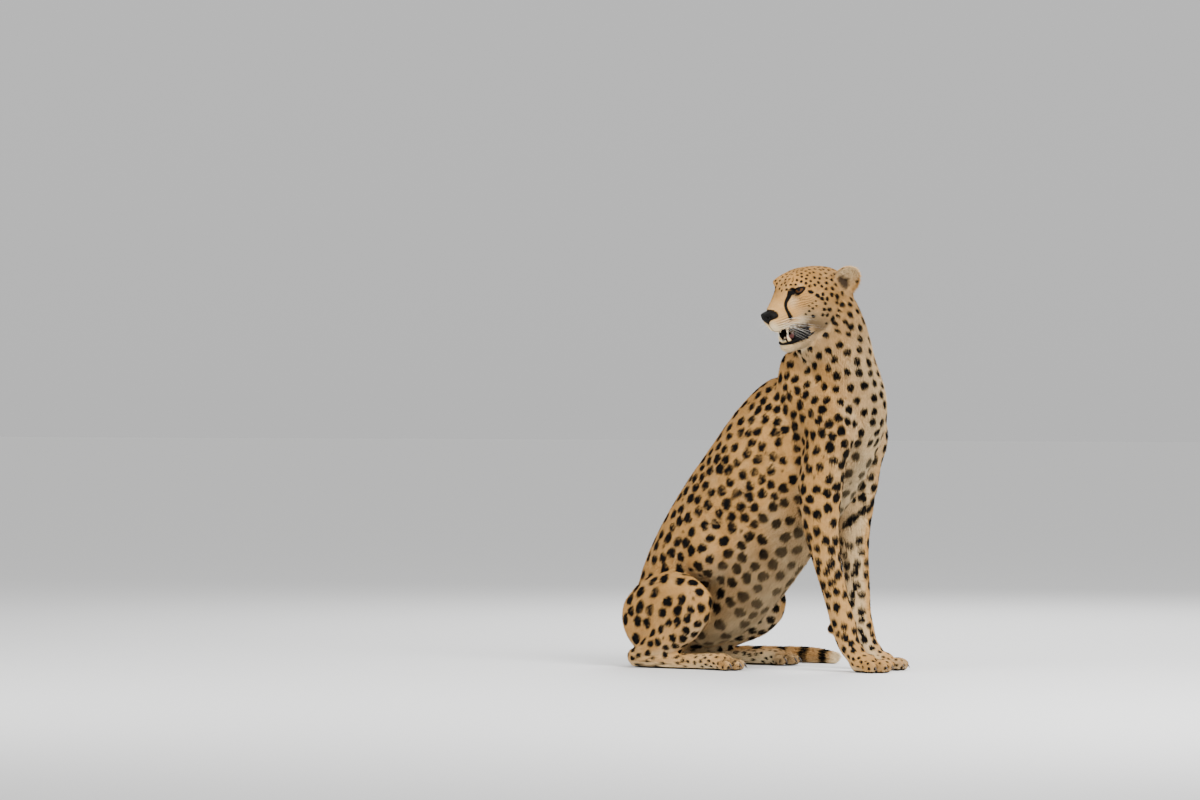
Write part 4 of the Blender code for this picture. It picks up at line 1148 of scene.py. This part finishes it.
def growth(points, normals):     # 1 where hair grows, 0 on the eyes, the nose, the mouth and the soles
    local, turned = headPlaces(points), normals @ np.array(headTurn)
    x, y, z = local.T
    jawZ = placed(jawFrame.inverted(), points)[:, 2]
    grows = np.ones(len(points))
    for side in (left, right):
        eye, near = besideEye(points, side)
        grows *= np.where(near, smoothStep(0.98, 1.12, lidOpening(eye[:, 1], eye[:, 2], 0.0010)), 1)
    palate = (turned[:, 2] < -0.45) & (z > -0.0465) & (x > 0.088) & (np.abs(y) < 0.040)
    tongueBed = (jawZ > -0.0600) & (x > 0.05) & (z < -0.044) & (turned[:, 2] > 0.15)
    sole = (points[:, 2] < 0.003) & (normals[:, 2] < -0.3)
    grows[palate | tongueBed | sole | (padLevel(local) < 1.02)] = 0
    return grows


def tuftPiece(name, roots, ways, normals, lengths, widths, tints, uvs):
    across = unit(np.cross(ways, normals))
    up = unit(np.cross(across, ways)) * widths[:, None] * coat["thick"]
    across = across * widths[:, None]
    base = roots - normals * coat["sink"]
    isLong = lengths > coat["longFrom"]
    middle = roots + ways * lengths[:, None] * 0.52
    tips = roots + ways * lengths[:, None] - normals * (lengths * coat["droop"] * isLong)[:, None]
    corners, faces, shades, maps = [], [], [], []
    start = 0
    for rows, bends, order in ((~isLong, 0, np.array(coat["spike"])), (isLong, 1, np.array(coat["bent"]))):
        if not rows.any():
            continue
        b, a, u, m, t = base[rows], across[rows], up[rows], middle[rows], tips[rows]
        rootTint, middleTint, tipTint = (tints[rows, index] for index in range(3))
        layers = [b - a / 2, b + a / 2, b + u] + [m - a * 0.36, m + a * 0.36, m + u * 0.72] * bends + [t]
        tones = [rootTint * coat["rootDark"]] * 3 + [middleTint] * 3 * bends + [tipTint * coat["tipLight"]]
        spots = [(-1, -1), (1, -1), (0, 1)] + [(-0.6, 0.2), (0.6, 0.2), (0, 0.7)] * bends + [(0, -0.2)]
        corners.append(np.stack(layers, axis=1).reshape(-1, 3))
        shades.append(np.stack(tones, axis=1).reshape(-1, 3))
        faces.append((order[None] + start + np.arange(len(b))[:, None, None] * len(layers)).reshape(-1, 3))
        patch = uvs[rows][:, None] + np.array(spots)[None] * coat["patch"]
        maps.append(patch[:, order.ravel()].reshape(-1, 2))
        start += len(b) * len(layers)
    corners, faces = np.concatenate(corners), np.concatenate(faces)
    mesh = bpy.data.meshes.new(name)
    mesh.vertices.add(len(corners))
    mesh.vertices.foreach_set("co", corners.astype(np.float32).ravel())
    mesh.loops.add(len(faces) * 3)
    mesh.loops.foreach_set("vertex_index", faces.astype(np.int32).ravel())
    mesh.polygons.add(len(faces))
    mesh.polygons.foreach_set("loop_start", np.arange(0, len(faces) * 3, 3, dtype=np.int32))
    mesh.update(calc_edges=True)
    mesh.uv_layers.new(name="OFBake").data.foreach_set("uv", np.concatenate(maps).astype(np.float32).ravel())
    piece = linked(name, mesh)
    colourLayer(piece, "coatColour", np.concatenate(shades))
    mesh.shade_smooth()
    return piece


def ownersOf(roots, facing, zone):     # which coat piece each tuft belongs to
    _, y, z = placed(bodyFrame.inverted(), roots).T
    isZone = {name: zone == index for index, name in enumerate(zoneNames)}
    owner = np.zeros(len(roots), int)
    for index, names in enumerate(coatPieces.values()):
        for name in names:
            owner[isZone[name]] = index
    owner[isZone["trunk"] & (z > 0.46)] = pieceNames.index("coatBack")
    under = isZone["belly"] | (isZone["trunk"] & (facing[:, 2] < -0.35))
    sides = [pieceNames.index(name) for name in ("coatBellyLeft", "coatBellyRight")]
    owner[under] = np.where(y[under] > 0, *sides)
    owner[under & (z > 0.36)] = pieceNames.index("coatBreast")
    owner[(owner == pieceNames.index("coatHaunchLeft")) & (y <= 0)] = pieceNames.index("coatHaunchRight")
    return owner


def growCoat(skin, zones, spots, lines, look):
    points, normals = pointsOf(skin), normalsOf(skin)
    part, gap = partsOf(zones), coat["gap"]
    headZones = [zoneNames.index(name) for name in ("crown", "cheek", "muzzle", "chin", "ear")]
    isFace = zones["part"][:, headZones].sum(axis=1)
    isFoot = part["hindFoot"] + smoothStep(0.10, 0.05, points[:, 2]) * part["foreleg"]
    spacing = gap["body"] + (gap["face"] - gap["body"]) * isFace
    spacing = spacing + (gap["feet"] - spacing) * np.clip(isFoot, 0, 1)
    grows = growth(points, normals)
    corners, loops, weights = scatter(skin, grows / spacing ** 2)
    roots = spread(points, corners, weights)
    facing = unit(spread(normals, corners, weights))
    here = {key: spread(values, corners, weights) for key, values in zones.items() if key != "zone"}
    here["zone"] = here["part"].argmax(axis=1)
    count = len(roots)
    lie = unit(here["lie"] - facing * (here["lie"] * facing).sum(axis=1)[:, None])
    swing = chance.normal(0, coat["turn"], count) + 0.22 * mottle(roots, 0.020, 11)
    lie = lie * np.cos(swing)[:, None] + np.cross(facing, lie) * np.sin(swing)[:, None]
    rise = np.radians(here["rise"] + chance.normal(0, coat["lift"], count) + 3.5 * mottle(roots, 0.012, 12))
    rise = np.clip(rise, *np.radians(coat["rise"]))
    ways = lie * np.cos(rise)[:, None] + facing * np.sin(rise)[:, None]
    lengths = here["hair"] * chance.uniform(*coat["length"], count)
    lengths *= 0.35 + 0.65 * spread(grows, corners, weights)
    lengths *= 0.45 + 0.55 * smoothStep(0.0, 0.03, roots[:, 2])
    for side in (left, right):     # longer hair within the ears
        inside = (facing @ np.array(headTurn)) @ np.array(earAxes(side)[2])
        lengths *= 1 + 0.7 * smoothStep(0.5, 0.9, partsOf(here)["ear"]) * smoothStep(0.2, 0.6, inside)
    widths = np.clip(lengths * coat["width"], coat["leastWidth"], coat["mostWidth"])
    tipHeight = (roots + ways * lengths[:, None])[:, 2]
    low = tipHeight < 0.0006     # tufts by the floor stay above it
    ways[low, 2] += (0.0008 - tipHeight[low]) / lengths[low]

    vary = (1 + chance.normal(0, coat["vary"], count))[:, None]
    tints = [paint(roots + lie * (lengths * share)[:, None], facing, here, spots, lines) * vary
             for share in coat["read"]]
    tints = np.stack(tints, axis=1)
    uvLayer = skin.data.uv_layers["OFBake"]
    places = np.empty(len(uvLayer.data) * 2, np.float32)
    uvLayer.data.foreach_get("uv", places)
    uvs = (places.reshape(-1, 2)[loops] * weights[:, :, None]).sum(axis=1)
    owner = ownersOf(roots, facing, here["zone"])
    for index, name in enumerate(pieceNames):
        rows = owner == index
        tufts = [values[rows] for values in (roots, ways, facing, lengths, widths, tints, uvs)]
        piece = tuftPiece(name, *tufts)
        piece.data.materials.append(look)
        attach(piece, "root")
        print("coat:", name, rows.sum(), "tufts", len(piece.data.polygons), "triangles")


skin = makeSkin()
zones = shapeSkin(skin)
print("skin:", len(skin.data.polygons), "triangles")
lines, dots = drawFace(skin)
spots = throwSpots(skin, normalsOf(skin), zones, lines, dots)
colourLayer(skin, "skinColour", paint(pointsOf(skin), normalsOf(skin), zones, spots, lines) * 0.80)
print("markings:", len(spots), "spots")
pickOnly(skin)
bpy.ops.object.mode_set(mode="EDIT")
bpy.ops.mesh.select_all(action="SELECT")
bpy.ops.uv.smart_project(angle_limit=math.radians(66), island_margin=0.002)
bpy.ops.object.mode_set(mode="OBJECT")
skin.data.uv_layers[0].name = "OFBake"
skinLook = finish("skinHair", 900, 0.0006, 0.80, 0.12, layer="skinColour", tones=(0.80, 1.15))
skin.data.materials.append(skinLook)
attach(skin, "root")
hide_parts(*[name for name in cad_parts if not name.startswith(("eye", "nose", "tongue"))])
coatLook = finish("coatHair", 450, 0, 0.75, 0.08, layer="coatColour", tones=(0.88, 1.10))
growCoat(skin, zones, spots, lines, coatLook)


def tubePiece(name, path, radii, sides, closed=False):     # a tapering tube, drawn as a curve
    data = bpy.data.curves.new(name, "CURVE")
    data.dimensions = "3D"
    data.bevel_depth = 1.0
    data.bevel_resolution = max(0, sides // 2 - 2)
    data.use_fill_caps = True
    spline = data.splines.new("POLY")
    spline.points.add(len(path) - 1)
    for point, place, radius in zip(spline.points, path, radii):
        point.co = (*place, 1)
        point.radius = radius
    spline.use_cyclic_u = closed
    piece = linked(name, data)
    pickOnly(piece)
    bpy.ops.object.convert(target="MESH")
    bpy.ops.object.shade_smooth()
    return piece


def finishPiece(piece, look, slot, *replaced):
    piece.data.materials.clear()
    piece.data.materials.append(look)
    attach(piece, "root")
    if replaced:
        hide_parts(*replaced)
    print("piece:", piece.name, len(piece.data.polygons), "faces")


# The iris colours are darkened amber and rust: painted shade of the brow over the eye.
eyes = {"pupil": 0.0036, "iris": 0.0098, "cornea": 0.0011, "look": 34, "inset": 0.0002,
        "corneaEdge": (0.0118, 0.0030), "rustEdge": (0.0070, 0.0098),
        "shadedAmber": (0.095, 0.034, 0.006), "shadedRust": (0.045, 0.015, 0.004), "white": (0.020, 0.012, 0.009)}


def makeEye(side, look):     # an eyeball with a raised cornea, a round pupil and a streaked amber iris darkened by painted shade
    gaze = math.radians(eyes["look"])
    centre = Vector(pose["eye"]) * Vector((1, side, 1))
    way = Vector((math.cos(gaze), side * math.sin(gaze), 0))
    base = headFrame @ Matrix.Translation(centre) @ way.to_track_quat("X", "Z").to_matrix().to_4x4()
    radius = pose["eyeRadius"] - eyes["inset"]
    eye = ballPiece("eyeball_" + sideNames[side], turnedBy(90, "Y"), (0, 0, 0), (radius,) * 3, 96, 72)
    points = pointsOf(eye)
    out = radius * np.arccos(np.clip(points[:, 0] / radius, -1, 1))
    points *= (1 + eyes["cornea"] / radius * smoothStep(*eyes["corneaEdge"], out))[:, None]
    angle = np.arctan2(points[:, 2], points[:, 1])
    streak = 0.5 + 0.5 * np.sin(angle * 23 + 2 * np.sin(angle * 7) + out * 900)
    tint = np.tile(eyes["shadedAmber"], (len(points), 1))
    tint = mixed(tint, eyes["shadedRust"], 0.55 * streak + 0.45 * smoothStep(*eyes["rustEdge"], out))
    tint = mixed(tint, eyes["white"], smoothStep(eyes["iris"] - 0.0004, eyes["iris"] + 0.0004, out))
    tint = mixed(tint, colours["black"], smoothStep(eyes["pupil"] + 0.0003, eyes["pupil"] - 0.0003, out))
    colourLayer(eye, "eyeColour", tint)
    setPoints(eye, placed(base, points))
    finishPiece(eye, look, "eye", "eye_" + sideNames[side])


rim = {"steps": 72, "thick": 0.00075, "proud": 0.0006}


def makeLidRim(side, look):     # the wet black edge of the lids round the opening
    path = []
    radius, power = pose["eyeRadius"], 2 / lids["squareness"]
    for angle in (2 * math.pi * step / rim["steps"] for step in range(rim["steps"])):
        cosine, sine = math.cos(angle), math.sin(angle)
        across = lids["halfWidth"] * math.copysign(abs(cosine) ** power, cosine) - lids["inward"]
        height = lids["above"] if sine > 0 else lids["below"]
        rise = height * math.copysign(abs(sine) ** power, sine) + lids["slant"] * across
        turn, lift = across / radius, rise / radius
        point = Vector((math.cos(lift) * math.cos(turn), math.cos(lift) * math.sin(turn), math.sin(lift)))
        path.append(lidFrame(side) @ (point * (radius + rim["proud"])))
    piece = tubePiece("lidRim_" + sideNames[side], path, [rim["thick"]] * rim["steps"], 10, True)
    finishPiece(piece, look, "nose")


def makeNose(look):
    pad = ballPiece("noseLeather", Matrix.Identity(4), (0, 0, 0), nose["radii"], 160, 110)
    points = pointsOf(pad)
    points[:, 1] *= padWidth(points[:, 2])
    push(points, nose["middle"] + mirrored(nose["sides"]))
    setPoints(pad, placed(headFrame, points + nose["centre"]))
    finishPiece(pad, look, "nose", "nose")


lips = {                                          # left half: x, y, z, radius
    "upper": [(0.0780, 0.0385, -0.0405, 0.0012), (0.0950, 0.0370, -0.0395, 0.0014),
              (0.1150, 0.0312, -0.0398, 0.0014), (0.1350, 0.0262, -0.0376, 0.0012),
              (0.1480, 0.0200, -0.0350, 0.0010), (0.1570, 0.0110, -0.0305, 0.0010),
              (0.1600, 0.0000, -0.0280, 0.0010)],
    "lower": [(0.0700, 0.0400, -0.0440, 0.0016), (0.0900, 0.0362, -0.0478, 0.0034),
              (0.1100, 0.0302, -0.0485, 0.0032), (0.1270, 0.0242, -0.0485, 0.0027),
              (0.1400, 0.0165, -0.0490, 0.0024), (0.1465, 0.0080, -0.0500, 0.0021),
              (0.1480, 0.0000, -0.0505, 0.0020)],
    "sheetEnd": 0.74, "sheetHem": 0.80, "sheetRows": 9, "sheetThick": 0.0022, "sag": 0.0018,
}


def lipPiece(name, base):     # both halves, corner to corner
    half = pathSamples(lips[name], 8)
    whole = np.concatenate([half, half[-2::-1] * (1, -1, 1, 1)])
    return tubePiece(name, [base @ Vector(row[:3]) for row in whole], whole[:, 3], 12)


def cornerSheet(side, flip):     # the loose skin between the jaws
    high, low = ([base @ (Vector(row[:3]) * flip) for row in pathSamples(lips[name][:4], 8)]
                 for name, base in (("upper", headFrame), ("lower", jawFrame)))
    rows, verts, faces = lips["sheetRows"], [], []
    for index, (top, foot) in enumerate(zip(high, low)):
        share = index / (len(high) - 1)
        cut = 1 - lips["sheetHem"] * smoothStep(lips["sheetEnd"], 1.0, share)
        for down in (row / (rows - 1) for row in range(rows)):
            sag = lips["sag"] * math.sin(down * math.pi * 3 + share * 9) * math.sin(down * math.pi)
            aside = headTurn @ Vector((0, side * (sag - 0.001), 0))
            verts.append(foot + (top - foot) * (1 - down) * cut + aside)
    for here in (index * rows + row for index in range(len(high) - 1) for row in range(rows - 1)):
        faces.append((here, here + 1, here + rows + 1, here + rows))
    sheet = pieceFrom("corner", verts, faces)
    applyModifier(sheet, "SOLIDIFY", thickness=lips["sheetThick"], offset=0)
    applyModifier(sheet, "SUBSURF", levels=1, render_levels=1)
    return sheet


def makeLips(look):
    parts = [lipPiece("upper", headFrame), lipPiece("lower", jawFrame)]
    parts += [cornerSheet(side, flip) for side, flip in bothFlips]
    piece = joinPieces("lips", parts)
    bpy.ops.object.shade_smooth()
    finishPiece(piece, look, "nose")


teeth = {                                         # left side: root, tip, radius, frame
    "canines": (((0.1330, 0.0175, -0.0290), (0.1325, 0.0165, -0.0490), 0.0042, headFrame),
                ((0.1340, 0.0150, -0.0500), (0.1385, 0.0158, -0.0290), 0.0044, jawFrame)),
    "incisorAside": (0.0022, 0.0036),             # first one's distance from the middle, step
    "incisors": (                                 # set back for each, spread, root x and z, tip x and z
        (0.0014, 1.00, (0.1495, -0.0330), (0.1510, -0.0420), 0.0018, headFrame),
        (0.0012, 0.85, (0.1425, -0.0500), (0.1450, -0.0415), 0.0016, jawFrame)),
    "cheekTeeth": ((0.118, 0.0062), (0.106, 0.0075), (0.093, 0.0085)),     # x, height
    "ivory": (0.74, 0.55, 0.27), "root": (0.50, 0.28, 0.09), "point": (0.86, 0.76, 0.58),
    "steps": 12, "bow": 0.07,
}


def toothPiece(root, tip, radius, base):     # a curved cone that bows forward a little
    root, tip = Vector(root), Vector(tip)
    shares = [step / teeth["steps"] for step in range(teeth["steps"] + 1)]
    length = (tip - root).length
    rows = [base @ (root.lerp(tip, share) + Vector((math.sin(share * math.pi) * length * teeth["bow"], 0, 0)))
            for share in shares]
    tooth = tubePiece("tooth", rows, [radius * max(0.06, 1 - share ** 1.6) for share in shares], 14)
    far = np.linalg.norm(pointsOf(tooth) - np.array(rows[0]), axis=1) / length
    tint = mixed(np.tile(teeth["ivory"], (len(far), 1)), teeth["root"], smoothStep(0.5, 0.15, far))
    colourLayer(tooth, "toothColour", mixed(tint, teeth["point"], smoothStep(0.55, 0.95, far)))
    return tooth


def makeTeeth(look):
    rows = list(teeth["canines"])
    first, step = teeth["incisorAside"]
    for index in range(3):
        for back, spread, (x, z), (tipX, tipZ), radius, base in teeth["incisors"]:
            aside = (first + step * index) * spread
            back *= index
            rows.append(((x - back, aside, z), (tipX - back, aside, tipZ), radius, base))
    for x, height in teeth["cheekTeeth"]:
        rows.append(((x, 0.0200, -0.0485), (x + 0.001, 0.0195, -0.0485 + height), 0.0038, jawFrame))
        x += 0.004
        rows.append(((x, 0.0185, -0.0320), (x, 0.0180, -0.0325 - height * 0.6), 0.0036, headFrame))
    parts = [toothPiece(Vector(root) * flip, Vector(tip) * flip, radius, base)
             for _, flip in bothFlips for root, tip, radius, base in rows]
    finishPiece(joinPieces("teeth", parts), look, "eye")


tongue = {
    "place": (0.088, 0, -0.0445), "radii": (0.0435, 0.0175, 0.0062),
    "moves": [                                    # furrow down the middle, tip turned up
        ((0.0, 0.0, 0.0060), 0.0060, (0.0, 0.0, -0.0026)),
        ((0.02, 0.0, 0.0060), 0.0060, (0.0, 0.0, -0.0024)),
        ((-0.02, 0.0, 0.0060), 0.0060, (0.0, 0.0, -0.0024)),
        ((0.042, 0.0, 0.0), 0.014, (0.0, 0.0, 0.0026))],
}


def makeTongue(look):
    base = jawFrame @ Matrix.Translation(tongue["place"])
    piece = ballPiece("tongueFlesh", base, (0, 0, 0), tongue["radii"], 64, 48, tongue["moves"])
    finishPiece(piece, look, "tongue", "tongue")


whiskers = {                                      # root and way: first hair, change for each hair and row
    "rows": 4, "each": 5, "length": (0.040, 0.078), "thick": 0.00016, "stray": 0.09,
    "root": ((0.158, 0.028, -0.0120), (-0.0062, 0, 0), (-0.002, 0, -0.0060)),
    "way": ((0.10, 0.9, 0.05), (-0.13, 0, 0), (0, 0, -0.16)),
    "back": (-0.62, 0, -0.30), "bow": 0.55, "steps": 9,
}


def makeWhiskers(look):     # from the pads, bowed back and down
    tree = KDTree(len(skin.data.vertices))
    for index, vertex in enumerate(skin.data.vertices):
        tree.insert(vertex.co, index)
    tree.balance()
    shares = np.linspace(0, 1, whiskers["steps"])
    back = headTurn @ Vector(whiskers["back"])
    parts = []
    for _, flip in bothFlips:
        for row, index in np.ndindex(whiskers["rows"], whiskers["each"]):
            place, way = (Vector(start + perHair * index + perRow * row) * flip for start, perHair, perRow
                          in (np.array(whiskers[key]) for key in ("root", "way")))
            root = tree.find(headFrame @ place)[0]
            length = chance.uniform(*whiskers["length"])
            way = headTurn @ (way + Vector(chance.normal(0, whiskers["stray"], 3))).normalized()
            path = [root + way * length * share + back * length * whiskers["bow"] * share ** 2
                    for share in shares]
            radii = [whiskers["thick"] * (1 - 0.8 * share) for share in shares]
            parts.append(tubePiece("whisker", path, radii, 6))
    finishPiece(joinPieces("whiskers", parts), look, "coat")


claw = {"root": (0.010, 0.0165), "tip": (0.0238, 0.0052),     # ahead, up
        "bow": 0.0042, "radius": 0.0034, "steps": 11}


def makeClaws(look):
    parts = []
    shares = np.linspace(0, 1, claw["steps"])
    radii = [claw["radius"] * (1 - 0.88 * share ** 1.4) for share in shares]
    (ahead, low), (tipAhead, tipLow) = claw["root"], claw["tip"]
    for paw, side in ((paws[kind], side) for kind in ("foreleg", "hindFoot") for side in (left, right)):
        for toeAhead, aside in paw["toes"]:
            way = Quaternion((0, 0, 1), aside * paws["splay"]) @ Vector((1, 0, 0))
            toe = Vector(paw[side]) + Vector((toeAhead, aside, 0))
            rises = [low + (tipLow - low) * share + claw["bow"] * math.sin(share * math.pi)
                     for share in shares]
            rows = [bodyFrame @ (toe + way * (ahead + (tipAhead - ahead) * share) + Vector((0, 0, rise)))
                    for share, rise in zip(shares, rises)]
            parts.append(tubePiece("claw", rows, radii, 12))
    finishPiece(joinPieces("claws", parts), look, "nose")


eyeFinish = finish("wetEye", 1400, 0, 0.45, 0.10, 0.18, 0.04, layer="eyeColour", tones=(0.85, 1.10))
rimFinish = finish("lidSkin", 1500, 0.0003, 0.60, 0.12, colour=(0.003, 0.0025, 0.002))
for side in (left, right):
    makeEye(side, eyeFinish)
    makeLidRim(side, rimFinish)
makeNose(finish("noseSkin", 1100, 0.0012, 0.58, 0.09, colour=(0.0045, 0.0038, 0.0036)))
makeLips(finish("lipSkin", 700, 0.0012, 0.65, 0.10, colour=(0.0022, 0.0016, 0.0015)))
makeTeeth(finish("toothEnamel", 600, 0.0002, 0.28, 0.5, 0.4, 0.12, layer="toothColour", tones=(0.92, 1.05)))
makeTongue(finish("tongueSkin", 1300, 0.0012, 0.40, 0.5, 0.3, 0.25, colour=(0.170, 0.045, 0.042)))
makeWhiskers(finish("whiskerHair", 300, 0.0001, 0.45, 0.4, colour=(0.86, 0.80, 0.70)))
makeClaws(finish("clawHorn", 500, 0.0003, 0.35, 0.5, 0.2, 0.2, colour=(0.045, 0.030, 0.022)))
